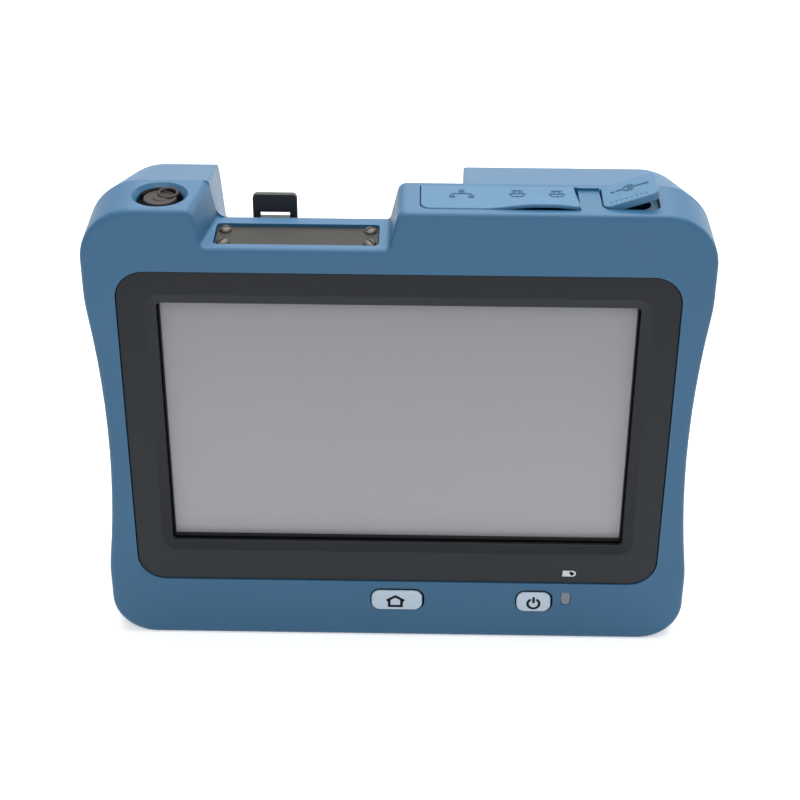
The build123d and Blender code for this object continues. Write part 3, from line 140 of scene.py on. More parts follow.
# Floor: a large white plane that takes the tester's shadow. Its glow is only seen and lights
# nothing, so the shadow stays.
FLOOR_REACH = 3
floor_mesh = bpy.data.meshes.new("floor")
shape = bmesh.new()
bmesh.ops.create_grid(shape, x_segments=1, y_segments=1, size=FLOOR_REACH)
shape.to_mesh(floor_mesh)
shape.free()
floor = bpy.data.objects.new("floor", floor_mesh)
scene.collection.objects.link(floor)
FLOOR_GLOW = 0.45
floor_paint = bpy.data.materials.new("floor_white")
floor_paint.use_nodes = True
floor_tree = floor_paint.node_tree
floor_shader = floor_tree.nodes["Principled BSDF"]
floor_shader.inputs["Base Color"].default_value = (0.95, 0.95, 0.95, 1)
floor_shader.inputs["Roughness"].default_value = 1
floor_shader.inputs["Specular IOR Level"].default_value = 0
floor_shader.inputs["Emission Color"].default_value = WHITE
glow = combined(floor_tree, "MULTIPLY", seen_rays(floor_tree), FLOOR_GLOW)
floor_tree.links.new(glow, floor_shader.inputs["Emission Strength"])
floor.data.materials.append(floor_paint)

# Case: two injection-moulded shells in blue plastic with a soft-touch lacquer. The shells
# meet at the crease that runs round the sides, and four screws from the back join them.
CASE_BLUE = (0.026, 0.128, 0.255)
# The second blue is paler: random patches take it, and the edges take it as wear and as a painted
# highlight.
CASE_PALE_AND_EDGE_HIGHLIGHT = (0.045, 0.165, 0.30)


def colour(rgb):
    """A shader colour with full alpha."""
    return (rgb[0], rgb[1], rgb[2], 1)


def noise(tree, place, size, detail):
    """A noise pattern whose blotches have this size in metres."""
    step = tree.nodes.new("ShaderNodeTexNoise")
    step.inputs["Scale"].default_value = 1 / size
    step.inputs["Detail"].default_value = detail
    tree.links.new(place.outputs["Object"], step.inputs["Vector"])
    return step.outputs["Fac"]


def edge_wear_and_highlight(tree, width):
    """Edge wear and painted highlight: a socket that rises from 0 on flat faces to 0.6 on edges,
    over this width in metres.
    """
    rounded = tree.nodes.new("ShaderNodeBevel")
    rounded.samples = 4
    rounded.inputs["Radius"].default_value = width
    facing = tree.nodes.new("ShaderNodeNewGeometry")
    turn = tree.nodes.new("ShaderNodeVectorMath")
    turn.operation = "DOT_PRODUCT"
    tree.links.new(rounded.outputs["Normal"], turn.inputs[0])
    tree.links.new(facing.outputs["Normal"], turn.inputs[1])
    return stretched(tree, turn.outputs["Value"], start=0.99, end=0.86, high=0.6)


def finish(name, base, patch_and_edge_colour, roughness, grain, relief, metallic=0, drift=0.03, edge=0.0006,
           shine=0.5):
    """A material with slow colour drift, a fine grain in its relief and edges painted paler, partly as
    wear and partly as a painted highlight.

    Lengths are in metres: grain and drift are the sizes of the two patterns, relief is the
    height of the grain and edge is the width of the paler edge line."""
    paint = bpy.data.materials.new(name)
    paint.use_nodes = True
    tree = paint.node_tree
    shader = tree.nodes["Principled BSDF"]
    shader.inputs["Metallic"].default_value = metallic
    shader.inputs["Specular IOR Level"].default_value = shine
    place = tree.nodes.new("ShaderNodeTexCoord")

    cloud = noise(tree, place, drift, detail=5)
    patches = stretched(tree, cloud, start=0.35, end=0.75, high=0.3)
    # The paler colour goes to random patches and to the edges; on the edges it is partly wear and partly
    # a painted highlight.
    tone_and_edge_light = combined(tree, "ADD", patches, edge_wear_and_highlight(tree, edge))
    tone_and_edge_light.node.use_clamp = True
    tint = tree.nodes.new("ShaderNodeMix")
    tint.data_type = "RGBA"
    tint.inputs["A"].default_value = colour(base)
    tint.inputs["B"].default_value = colour(patch_and_edge_colour)
    tree.links.new(tone_and_edge_light, tint.inputs["Factor"])
    tree.links.new(tint.outputs["Result"], shader.inputs["Base Color"])

    polish = stretched(tree, cloud, low=roughness - 0.06, high=roughness + 0.06)
    tree.links.new(polish, shader.inputs["Roughness"])
    bump = tree.nodes.new("ShaderNodeBump")
    bump.inputs["Distance"].default_value = relief
    bump.inputs["Strength"].default_value = 0.6
    tree.links.new(noise(tree, place, grain, detail=2), bump.inputs["Height"])
    tree.links.new(bump.outputs["Normal"], shader.inputs["Normal"])
    return paint


def paint_nodes(paint, *names):
    """Gives CAD nodes one material."""
    for name in names:
        nodes[name].data.materials.clear()
        nodes[name].data.materials.append(paint)


def add_piece(name, shape, paint, body):
    """Makes a piece from a bmesh, gives it its material and body, and frees the bmesh."""
    mesh = bpy.data.meshes.new(name)
    shape.to_mesh(mesh)
    shape.free()
    mesh.materials.append(paint)
    piece = bpy.data.objects.new(name, mesh)
    scene.collection.objects.link(piece)
    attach(piece, body)
    return piece


def even_shading(piece):
    """Lets the large flat faces rule the shading of the rounds between them."""
    even = piece.modifiers.new("even_shading", "WEIGHTED_NORMAL")
    even.keep_sharp = True


def soften(piece, width, sharp=30, segments=2):
    """Breaks the piece's sharp edges with a small round and evens out the shading."""
    edge = piece.modifiers.new("broken_edges", "BEVEL")
    edge.width = width
    edge.segments = segments
    edge.limit_method = "ANGLE"
    edge.angle_limit = math.radians(sharp)
    even_shading(piece)
    return piece


def dress(name, paint, sharp=30, round_edges=0.0):
    """A merged, smoothly shaded copy of a CAD node that stands for it."""
    shape = bmesh.new()
    shape.from_mesh(nodes[name].data)
    bmesh.ops.remove_doubles(shape, verts=shape.verts, dist=0.000002)
    bmesh.ops.dissolve_limit(
        shape, angle_limit=math.radians(0.3), verts=shape.verts, edges=shape.edges
    )
    for face in shape.faces:
        face.smooth = True
    for line in shape.edges:
        if len(line.link_faces) == 2:
            line.smooth = line.calc_face_angle(0) < math.radians(sharp)
    piece = add_piece(name + "_skin", shape, paint, nodes[name]["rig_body"])
    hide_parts(name)
    if round_edges:
        soften(piece, round_edges, sharp)
    return piece


def crisp_rim(piece, face_y, solid_radius, tightness=0.6):
    """Draws the round between the face and the sides tighter, as the mould's edge is."""
    slack = 0.12 * MM
    centre_y = face_y + solid_radius
    moves = []
    for corner in piece.data.vertices:
        normal = corner.normal
        outward = Vector((normal.x, 0, normal.z))
        on_round = abs(corner.co.y - solid_radius * normal.y - centre_y) < slack
        if not on_round or outward.length < 0.01 or normal.y > -0.01:
            continue
        reach = outward.normalized() * outward.length ** tightness
        reach.y = -((-normal.y) ** tightness)
        moves.append((corner, corner.co + solid_radius * (reach - normal)))
    for corner, place in moves:
        corner.co = place


def round_notch(piece, width):
    """Rounds the top edges of the rear towers where they fall into the notch."""
    notch_left, notch_right, notch_foot = -70 * MM, 25 * MM, 140 * MM
    shortest = 1.2 * MM
    shape = bmesh.new()
    shape.from_mesh(piece.data)
    edges = []
    for line in shape.edges:
        if len(line.link_faces) != 2 or line.calc_face_angle(0) < math.radians(40):
            continue
        spot = (line.verts[0].co + line.verts[1].co) / 2
        one, other = (face.normal for face in line.link_faces)
        roof = max(one.z, other.z) > 0.85
        side = max(abs(one.x), abs(other.x)) > 0.85
        inside = notch_left < spot.x < notch_right and spot.z > notch_foot
        if roof and side and inside and line.calc_length() > shortest:
            edges.append(line)
    bmesh.ops.bevel(shape, geom=edges, offset=width, segments=4, profile=0.5, affect="EDGES",
                    material=-1, clamp_overlap=False)
    for face in shape.faces:
        face.smooth = True
    shape.to_mesh(piece.data)
    shape.free()


case_blue = finish("case_blue", CASE_BLUE, CASE_PALE_AND_EDGE_HIGHLIGHT, 0.46, 0.0005, 0.00002)
front_skin = dress("front_shell", case_blue)
front_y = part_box("front_shell")[0].y
crisp_rim(front_skin, front_y, 2.6 * MM)
even_shading(front_skin)
rear_skin = dress("rear_shell", case_blue)
round_notch(rear_skin, 1.0 * MM)
even_shading(rear_skin)
rubber_black = finish("rubber_black", (0.012, 0.012, 0.014), (0.03, 0.03, 0.034), 0.7, 0.0003, 0.00002)
paint_nodes(rubber_black, "shell_seal")

# Screen: a dark moulded bezel lies in the front shell's recess. Its inner edge slopes down to
# the grey anti-glare touch glass, which is bonded over the unlit display. A black gasket lines
# the sides and the foot of the glass.
bezel_grey = finish("bezel_grey", (0.014, 0.0175, 0.021), (0.023, 0.027, 0.031), 0.42, 0.0004,
                    0.000015, shine=0.27)


def height_factor(tree, foot, top):
    """A socket that goes from 0 to 1 between two heights in metres."""
    split = tree.nodes.new("ShaderNodeSeparateXYZ")
    place = next(step for step in tree.nodes if step.type == "TEX_COORD")
    tree.links.new(place.outputs["Object"], split.inputs["Vector"])
    return stretched(tree, split.outputs["Z"], start=foot, end=top)


def slope_factor(tree):
    """A socket that is 0 on faces square to the front and 1 on the slope round the window."""
    split = tree.nodes.new("ShaderNodeSeparateXYZ")
    facing = next(step for step in tree.nodes if step.type == "NEW_GEOMETRY")
    tree.links.new(facing.outputs["True Normal"], split.inputs["Vector"])
    return stretched(tree, split.outputs["Y"], start=-0.985, end=-0.97)


def shade(tree, factor, tint):
    """Paints shade: multiplies the base colour by a tint, as far as the factor says."""
    base = tree.nodes["Principled BSDF"].inputs["Base Color"]
    mix = tree.nodes.new("ShaderNodeMix")
    mix.data_type = "RGBA"
    mix.blend_type = "MULTIPLY"
    mix.inputs["B"].default_value = colour(tint)
    tree.links.new(factor, mix.inputs["Factor"])
    tree.links.new(base.links[0].from_socket, mix.inputs["A"])
    tree.links.new(mix.outputs["Result"], base)


# Painted shade: the bezel's face is darker towards the top, and its slope towards the bottom.
tree = bezel_grey.node_tree
painted_shade_blend = combined(tree, "SUBTRACT", height_factor(tree, 0.03, 0.155), slope_factor(tree))
shade(tree, combined(tree, "ABSOLUTE", painted_shade_blend, 0), (0.3, 0.38, 0.48))
dress("screen_bezel", bezel_grey, sharp=10, round_edges=0.2 * MM)
touch_glass = finish("touch_glass", (0.42, 0.425, 0.455), (0.46, 0.46, 0.485), 0.3, 0.00015,
                     0.000004, drift=0.12)
# Painted shade: the glass is darker towards its top.
tree = touch_glass.node_tree
shade(tree, height_factor(tree, 0.05, 0.14), (0.73, 0.735, 0.75))
paint_nodes(touch_glass, "touch_panel")
foam_black = finish("foam_black", (0.006, 0.006, 0.007), (0.012, 0.012, 0.013), 0.9, 0.0004, 0.00008)
paint_nodes(foam_black, "lcd_gasket", "cover_plate_gasket")
# Black for the window's gasket, and for the painted shadow round the keys.
gasket_and_key_shadow_black = finish("gasket_and_key_shadow_black", (0.003, 0.003, 0.004), (0.005, 0.005, 0.006), 0.85, 0.0004,
                      0.00002, shine=0.04)
frame_low, frame_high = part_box("screen_bezel")
window_left = frame_low.x + 12.4 * MM
window_right = frame_high.x - 12.4 * MM
window_foot = frame_low.z + 15.7 * MM
window_top = frame_high.z - 11.6 * MM
glass_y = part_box("touch_panel")[0].y
GASKET_OUT = 0.2 * MM
GASKET_IN = 0.35 * MM
GASKET_FOOT = 0.9 * MM
SIDE_RISE = 1.45 * MM
FOOT_RISE = 1.7 * MM


def add_block(shape, size, place):
    """Adds a box of this size with its middle at a point, or at the origin of a plane."""
    if isinstance(place, Vector):
        place = Matrix.Translation(place)
    bmesh.ops.create_cube(shape, size=1, matrix=place @ Matrix.Diagonal((*size, 1)))


def lay_gasket(shape, left, right, foot, top, rise):
    """Adds a strip of the gasket that stands on the glass."""
    middle = Vector(((left + right) / 2, glass_y - rise / 2, (foot + top) / 2))
    add_block(shape, (right - left, rise, top - foot), middle)


shape = bmesh.new()
left, right = window_left - GASKET_OUT, window_right + GASKET_OUT
lay_gasket(shape, left, window_left + GASKET_IN, window_foot, window_top, SIDE_RISE)
lay_gasket(shape, window_right - GASKET_IN, right, window_foot, window_top, SIDE_RISE)
lay_gasket(shape, left, right, window_foot - GASKET_FOOT, window_foot, FOOT_RISE)
add_piece("screen_gasket", shape, gasket_and_key_shadow_black, "case")
pan_steel = finish("pan_steel", (0.42, 0.42, 0.43), (0.52, 0.52, 0.53), 0.35, 0.0006, 0.00001,
                   metallic=1)
paint_nodes(pan_steel, "lcd_panel")

# Keys: two light grey moulded caps in the bottom margin, with dark printed signs: a house for
# the start screen and the usual mark for power.
key_grey = finish("key_grey", (0.59, 0.72, 0.85), (0.66, 0.76, 0.87), 0.4, 0.0004, 0.00001)
ink_black = finish("ink_black", (0.005, 0.007, 0.010), (0.010, 0.012, 0.015), 0.6, 0.0002, 0.000005,
                   shine=0.1)
dress("home_button", key_grey, round_edges=0.6 * MM)
dress("power_button", key_grey, round_edges=0.6 * MM)


def raise_faces(shape, faces, rise):
    """Pulls flat faces up by rise, so that they close into a plate."""
    pulled = bmesh.ops.extrude_face_region(shape, geom=faces)["geom"]
    tops = [part for part in pulled if isinstance(part, bmesh.types.BMVert)]
    bmesh.ops.translate(shape, verts=tops, vec=(0, 0, rise))


MITRE_LIMIT = 0.4


def stroke(shape, line, width, rise, closed):
    """Adds a mitred bar of even width along a line in the x-y plane, raised by rise. The limit
    keeps the mitre of a tight turn short."""
    points = [Vector((x, y, 0)) for x, y in line]
    runs = [(after - point).normalized() for point, after in zip(points, points[1:] + points[:1])]
    if not closed:
        runs[-1] = runs[-2]
    rails = []
    for i, point in enumerate(points):
        coming = runs[i - 1] if closed or i > 0 else runs[0]
        along = (coming + runs[i]).normalized()
        side = Vector((-along.y, along.x, 0))
        lean = Vector((-coming.y, coming.x, 0)).dot(side)
        reach = side * (width / 2 / max(lean, MITRE_LIMIT))
        rails.append((shape.verts.new(point - reach), shape.verts.new(point + reach)))
    if closed:
        rails.append(rails[0])
    faces = [shape.faces.new((a[0], b[0], b[1], a[1])) for a, b in zip(rails, rails[1:])]
    raise_faces(shape, faces, rise)


def plaque(shape, corners, rise, start=0.0):
    """Adds a flat plate with this outline, from the height start up to the height rise."""
    outline = [shape.verts.new((x, y, start)) for x, y in corners]
    raise_faces(shape, [shape.faces.new(outline)], rise - start)


def arc(x, y, radius, start, end, steps=20):
    """Points on a circle, from one angle to another in degrees."""
    turns = [math.radians(start + (end - start) * i / steps) for i in range(steps + 1)]
    return [(x + radius * math.cos(turn), y + radius * math.sin(turn)) for turn in turns]


def mark(name, place, paint, body, lines=(), rings=(), plates=(), width=0.5, rise=0.04):
    """A printed or raised sign, drawn in millimetres on the plane of place: open lines and
    closed rings of this width, and filled plates."""
    shape = bmesh.new()
    for line in lines:
        stroke(shape, line, width, rise, closed=False)
    for line in rings:
        stroke(shape, line, width, rise, closed=True)
    for corners in plates:
        plaque(shape, corners, rise)
    bmesh.ops.recalc_face_normals(shape, faces=shape.faces)
    bmesh.ops.transform(shape, matrix=place @ Matrix.Scale(MM, 4), verts=shape.verts)
    return add_piece(name, shape, paint, body)


def on_front(x, z, y):
    """A plane that faces the reader at a point of the front, given in metres."""
    return Matrix.Translation((x, y, z)) @ Matrix.Rotation(math.radians(90), 4, "X")


def middle_of(name):
    """The middle of a CAD node's box."""
    low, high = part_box(name)
    return (low + high) / 2


key_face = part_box("home_button")[0].y
home = middle_of("home_button")
roof = [(-3.1, 0.4), (0, 2.3), (3.1, 0.4)]
walls = [(-2.15, 0.8), (-2.15, -1.95), (2.15, -1.95), (2.15, 0.8)]
mark("home_sign", on_front(home.x - 0.5 * MM, home.z - 0.3 * MM, key_face), ink_black, "home_key",
     [roof, walls], width=0.95)
power = middle_of("power_button")
circle = arc(0, -0.2, 2.05, 118, 422, 28)
bar = [(0, 0.1), (0, 2.7)]
mark("power_sign", on_front(power.x, power.z - 0.2 * MM, key_face), ink_black, "power_key",
     [circle, bar], width=0.9)

# Painted shadow: a thin black ring round each key opening stands for the shade in the gap round
# the key, and it is shifted to the right as the key's shadow.
KEY_FLANGE = 1.4
RIM_GAP = 0.3
RIM_RADIUS = 3.3
KEY_SHADOW_SHIFT = 0.15
key_shadow_rings = []
for key in ("home_button", "power_button"):
    low, high = (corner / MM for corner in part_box(key))
    centre = (low + high) / 2
    across = (high.x - low.x) / 2 - KEY_FLANGE + RIM_GAP - RIM_RADIUS
    up = (high.z - low.z) / 2 - KEY_FLANGE + RIM_GAP - RIM_RADIUS
    outline = []
    for turn, side, end in ((0, 1, 1), (90, -1, 1), (180, -1, -1), (270, 1, -1)):
        outline += arc(centre.x + KEY_SHADOW_SHIFT + side * across, centre.z + end * up, RIM_RADIUS,
                       turn, turn + 90, 8)
    key_shadow_rings.append(outline)
mark("key_shadow_rim", on_front(0, 0, front_y), gasket_and_key_shadow_black, "case", rings=key_shadow_rings,
     width=0.6)

# Charge lamp: the frosted end of a light pipe beside the power key, with a battery sign
# printed in white on the bezel above it.
lamp_clear = finish("lamp_clear", (0.3, 0.34, 0.42), (0.36, 0.4, 0.47), 0.3, 0.0003, 0.00001)
lamp_shader = lamp_clear.node_tree.nodes["Principled BSDF"]
lamp_shader.inputs["Transmission Weight"].default_value = 0.25
dress("charge_light_pipe", lamp_clear, round_edges=0.2 * MM)
ink_white = finish("ink_white", (0.78, 0.79, 0.8), (0.7, 0.71, 0.72), 0.5, 0.0002, 0.000005)
bezel_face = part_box("screen_bezel")[0].y
lamp = middle_of("charge_light_pipe")
cell_end = arc(1.15, 0, 1.25, -80, 80, 12)
cell = [(-2.35, -1.2), *cell_end, (-2.2, 1.25)]
leaf = [(-0.1, 0.85), (1.0, 0.75), (1.9, 0.1), (1.3, -0.75), (0.75, -0.85), (0.3, -0.2)]
battery_spot = on_front(lamp.x + 0.7 * MM, 28.2 * MM, bezel_face)
mark("battery_sign", battery_spot, ink_white, "case", plates=[cell], rise=0.03)
mark("battery_sign_leaf", battery_spot, ink_black, "case", plates=[leaf], rise=0.045)

# Blanking plate of the spare port: a dark anodised plate on a foam gasket in the low section,
# held by four slotted dome screws whose slots stopped at different angles.
plate_metal = finish("plate_metal", (0.04, 0.038, 0.034), (0.075, 0.07, 0.063), 0.48, 0.0003, 0.00001,
                     edge=0.0003, shine=0.15)
screw_steel = finish("screw_steel", (0.11, 0.1, 0.09), (0.17, 0.158, 0.145), 0.55, 0.0004, 0.00003,
                     metallic=1)
dress("port_cover_plate", plate_metal, round_edges=0.25 * MM)


def turned(profile, steps=48):
    """A solid of revolution about the z axis, from (radius, height) points in millimetres."""
    shape = bmesh.new()
    ends = [shape.verts.new((radius, 0, height)) for radius, height in profile]
    lines = [shape.edges.new(pair) for pair in zip(ends, ends[1:])]
    bmesh.ops.spin(shape, geom=ends + lines, cent=(0, 0, 0), axis=(0, 0, 1), dvec=(0, 0, 0),
                   angle=math.radians(360), steps=steps, use_merge=True)
    bmesh.ops.remove_doubles(shape, verts=shape.verts, dist=0.0001)
    bmesh.ops.recalc_face_normals(shape, faces=shape.faces)
    for face in shape.faces:
        face.smooth = True
    return shape


def carve(piece, cutter):
    """Cuts a bmesh shape, drawn in metres, out of a piece and applies the result."""
    mesh = bpy.data.meshes.new("cutter")
    cutter.to_mesh(mesh)
    cutter.free()
    tool = bpy.data.objects.new("cutter", mesh)
    scene.collection.objects.link(tool)
    cut = piece.modifiers.new("cut", "BOOLEAN")
    cut.operation = "DIFFERENCE"
    cut.solver = "EXACT"
    cut.object = tool
    bpy.context.view_layer.update()
    ready = piece.evaluated_get(bpy.context.evaluated_depsgraph_get())
    result = bpy.data.meshes.new_from_object(ready)
    piece.modifiers.remove(cut)
    piece.data = result
    bpy.data.objects.remove(tool)


plate_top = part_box("port_cover_plate")[1].z
screws_low, screws_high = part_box("cover_plate_screws")
head_radius = 2.1 * MM
slot_size = (5 * MM, 0.65 * MM, 0.9 * MM)
slot_middle = Matrix.Translation((0, 0, 1.15 * MM))
slot_turns = (55, 10, 130, 35)
dome_profile = [(0, -0.1), (2.05, -0.1), (2.1, 0), (2.1, 0.25), (2.0, 0.55), (1.75, 0.85),
                (1.35, 1.1), (0.8, 1.25), (0.4, 1.29), (0, 1.3)]
corner_spots = [(x, y) for x in (screws_low.x + head_radius, screws_high.x - head_radius)
                for y in (screws_low.y + head_radius, screws_high.y - head_radius)]
for number, ((x, y), angle) in enumerate(zip(corner_spots, slot_turns)):
    shape = turned(dome_profile)
    spot = Matrix.Translation((x, y, plate_top))
    bmesh.ops.transform(shape, matrix=spot @ Matrix.Scale(MM, 4), verts=shape.verts)
    head = add_piece(f"cover_plate_screw_{number + 1}", shape, screw_steel, "case")
    cutter = bmesh.new()
    add_block(cutter, slot_size, spot @ Matrix.Rotation(math.radians(angle), 4, "Z") @ slot_middle)
    carve(head, cutter)
    soften(head, 0.06 * MM)
    if number == 0:
        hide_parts("cover_plate_screws")

# Optical port: a metal connector with its ferrule sleeve stands in the well of the left tower.
# A swappable adapter grips it, and a black rubber dust cap with a pull loop covers the end.
chassis_alloy = finish("chassis_alloy", (0.4, 0.41, 0.42), (0.55, 0.56, 0.57), 0.35, 0.0006, 0.00002,
                       metallic=1)
port_nickel = finish("port_nickel", (0.5, 0.49, 0.46), (0.62, 0.61, 0.58), 0.25, 0.0005, 0.00001,
                     metallic=1)
ceramic = finish("ceramic", (0.78, 0.77, 0.73), (0.7, 0.69, 0.66), 0.2, 0.0004, 0.000005)
black_plastic = finish("black_plastic", (0.013, 0.013, 0.016), (0.03, 0.03, 0.034), 0.5, 0.0004, 0.00002)
dress("optical_baseplate", chassis_alloy)
dress("ferrule_sleeve", ceramic)
dress("connector_adapter", port_nickel)

cap_low, cap_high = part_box("dust_cap")
port = middle_of("connector_adapter")
cap_rise = (cap_high.z - cap_low.z) / MM
cap_place = Matrix.Translation((port.x, port.y, cap_low.z)) @ Matrix.Scale(MM, 4)
cap_rubber = finish("cap_rubber", (0.035, 0.025, 0.024), (0.06, 0.048, 0.045), 0.55, 0.0003, 0.00002,
                    shine=0.3)
skirt_and_shade_black = finish("skirt_and_shade_black", (0.004, 0.004, 0.005), (0.008, 0.008, 0.009), 0.85, 0.0003,
                      0.00002, shine=0.1)
shape = turned([(4.85, 0), (5.2, 0), (5.3, 0.25), (5.3, cap_rise - 0.5), (5.1, cap_rise - 0.1),
                (4.8, cap_rise), (4.4, cap_rise - 0.05), (4.2, cap_rise - 0.3),
                (2.3, cap_rise - 0.35), (2.1, cap_rise - 0.1), (1.6, cap_rise - 0.05),
                (0, cap_rise - 0.05), (0, 5.0), (4.85, 4.9), (4.85, 0)], steps=72)
bmesh.ops.transform(shape, matrix=cap_place, verts=shape.verts)
cap = add_piece("dust_cap_body", shape, cap_rubber, "cap")
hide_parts("dust_cap")
soften(cap, 0.08 * MM, sharp=35)
# A black skirt fills the well round the cap: partly the flange of the cap, partly painted shade of the
# well's inside.
shape = turned([(5.2, cap_rise - 3.1), (6.7, cap_rise - 3.1), (7.05, cap_rise - 2.8),
                (7.1, cap_rise - 1.9), (6.9, cap_rise - 1.6), (6.0, cap_rise - 1.9),
                (5.2, cap_rise - 2.0), (5.2, cap_rise - 3.1)], steps=72)
bmesh.ops.transform(shape, matrix=cap_place, verts=shape.verts)
skirt_and_well_shade = add_piece("dust_cap_skirt_and_well_shade", shape, skirt_and_shade_black, "cap")
soften(skirt_and_well_shade, 0.08 * MM, sharp=35)
# Painted shadow: a black wall stands behind the disc and the loop, where their shadow falls.
shape = bmesh.new()
plaque(shape, arc(0, 0, 7.0, 15, 165) + arc(0, 0, 5.35, 165, 15), cap_rise + 0.2,
       start=cap_rise - 1.9)
bmesh.ops.recalc_face_normals(shape, faces=shape.faces)
bmesh.ops.transform(shape, matrix=cap_place, verts=shape.verts)
cap_shadow_wall = add_piece("dust_cap_shadow_wall", shape, skirt_and_shade_black, "cap")
soften(cap_shadow_wall, 0.3 * MM, sharp=35)


def round_loop(points, radius):
    """A round bar along a closed line of points, in metres."""
    line = bpy.data.curves.new("line", "CURVE")
    line.dimensions = "3D"
    line.bevel_depth = radius
    line.bevel_resolution = 3
    run = line.splines.new("POLY")
    run.points.add(len(points) - 1)
    run.use_cyclic_u = True
    for spot, point in zip(run.points, points):
        spot.co = (*point, 1)
    holder = bpy.data.objects.new("line", line)
    scene.collection.objects.link(holder)
    bpy.context.view_layer.update()
    ready = holder.evaluated_get(bpy.context.evaluated_depsgraph_get())
    shape = bmesh.new()
    shape.from_mesh(ready.to_mesh())
    bpy.data.objects.remove(holder)
    for face in shape.faces:
        face.smooth = True
    return shape


LOOP_STEPS = 32
loop = []
for count in range(LOOP_STEPS):
    angle = math.radians(count * 360 / LOOP_STEPS)
    loop.append((port.x + (2.3 + 2.9 * math.cos(angle)) * MM,
                 port.y + (2.4 + 2.3 * math.sin(angle)) * MM,
                 cap_high.z + (0.3 + 0.5 * math.sin(angle)) * MM))
add_piece("dust_cap_loop", round_loop(loop, 0.5 * MM), cap_rubber, "cap")

# Cover of the network and data sockets: a blue rubber flap, held by the anchor at its left
# end. Its free front edge has lifted a little from the seat. The signs are moulded in.
cover_rubber = finish("cover_rubber", (0.06, 0.185, 0.325), (0.1, 0.23, 0.375), 0.55, 0.0004, 0.00002)
sign_blue = finish("sign_blue", (0.022, 0.075, 0.15), (0.04, 0.11, 0.19), 0.6, 0.0004, 0.00002,
                   shine=0.3)
paint_nodes(cover_rubber, "data_cover_anchor")


def smooth_step(value):
    """0 to 1 with soft ends."""
    value = min(max(value, 0), 1)
    return value * value * (3 - 2 * value)


LIP_LIFT = 1.6 * MM
LIP_THICKNESS = 1.4 * MM
END_SLANT = 1.2 * MM


def bow(low, high, x, y):
    """How far the flap has sprung up from the seat above a point: not at all in its left third
    and at its back, fully at the front edge right of the middle, and less at its right end."""
    along = (x - low.x) / (high.x - low.x)
    across = (y - low.y) / (high.y - low.y)
    rise = smooth_step((along - 0.38) / 0.36) * (1 - 0.4 * smooth_step((along - 0.84) / 0.16))
    return LIP_LIFT * rise * smooth_step(1 - across * 1.35)


def flap_shape(low, high, corner, steps=72, rows=12):
    """A slab with a rounded front left corner, a slanting right end and a thin sprung lip."""
    shape = bmesh.new()
    bmesh.ops.create_grid(shape, x_segments=steps, y_segments=rows, size=0.5,
                          matrix=Matrix.Translation((0.5, 0.5, 0)))
    raise_faces(shape, shape.faces[:], 1)
    for spot in shape.verts:
        along, across, level = spot.co
        x = low.x + (high.x - low.x) * along
        run = min(max(x - low.x, 0), corner)
        front = low.y + corner - math.sqrt(max(corner ** 2 - (corner - run) ** 2, 0))
        y = front + (high.y - front) * across
        slant = END_SLANT * smooth_step((along - 0.9) / 0.1) * (0.15 - across)
        lip = (high.z - low.z - LIP_THICKNESS) * smooth_step(1.25 - 5 * across)
        z = high.z if level > 0.5 else low.z + lip
        spot.co = (x + slant, y, z + bow(low, high, x, y))
    bmesh.ops.recalc_face_normals(shape, faces=shape.faces)
    for face in shape.faces:
        face.smooth = True
    for line in shape.edges:
        line.smooth = line.calc_face_angle(0) < math.radians(40)
    return shape


SEAT_GAP = 0.6 * MM
cover_low, cover_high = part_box("data_port_cover")
cover_low.z += SEAT_GAP
shape = flap_shape(cover_low, cover_high, corner=3.1 * MM)
cover = add_piece("data_port_cover_flap", shape, cover_rubber, "data_cover")
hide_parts("data_port_cover")
soften(cover, 0.4 * MM, sharp=50, segments=3)

sign_y = cover_high.y - 0.36 * (cover_high.y - cover_low.y)


def square(x, y, size):
    """The corners of a square round a point."""
    half = size / 2
    return [(x - half, y - half), (x + half, y - half), (x + half, y + half), (x - half, y + half)]


def raised_sign(name, along, lines, rings, plates, width):
    """A moulded sign that follows the sprung top of the flap."""
    place = Matrix.Translation((cover_low.x + along * MM, sign_y, cover_high.z))
    piece = mark(name, place, sign_blue, "data_cover", lines, rings, plates, width,
                 rise=0.2)
    for corner in piece.data.vertices:
        corner.co.z += bow(cover_low, cover_high, corner.co.x, corner.co.y) - 0.05 * MM


computers = [square(0, 1.9, 1.8), square(-3.0, -1.9, 1.8), square(3.0, -1.9, 1.8)]
wires = [[(0, 1.0), (0, 0)], [(-3.0, -1.0), (-3.0, 0), (3.0, 0), (3.0, -1.0)]]
raised_sign("network_sign", 12.8, wires, [], computers, width=0.3)
plug_shell = [(-1.5, 0.2), (1.5, 0.2), (1.5, 2.6), (-1.5, 2.6)]
plug_grip = [(-2.4, 0.2), (2.4, 0.2), (1.6, -2.2), (-1.6, -2.2)]
plug_lead = [(0, -2.4), (0, -3.6)]
pins = [square(-0.7, 1.5, 0.6), square(0.7, 1.5, 0.6)]
for number, along in enumerate((30.2, 42.6)):
    raised_sign(f"plug_sign_{number + 1}", along, [plug_lead], [plug_shell, plug_grip], pins,
                width=0.4)

# Cover of the power inlet: a thicker rubber flap, propped open on its moulded hinge. Its sign
# shows the polarity of the plug, centre positive.
dress("power_port_cover", cover_rubber, round_edges=0.3 * MM)
FLAP_TILT = math.radians(19)
flap_low, flap_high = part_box("power_port_cover")
hinge_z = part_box("data_port_cover")[1].z


def on_flap(along, across):
    """A plane on the tilted top of the inlet cover, at millimetres from its hinge edge."""
    tilt = Matrix.Rotation(-FLAP_TILT, 4, "Y")
    foot = Matrix.Translation((flap_low.x, (flap_low.y + flap_high.y) / 2, hinge_z))
    return foot @ tilt @ Matrix.Translation((along * MM, across * MM, 0))


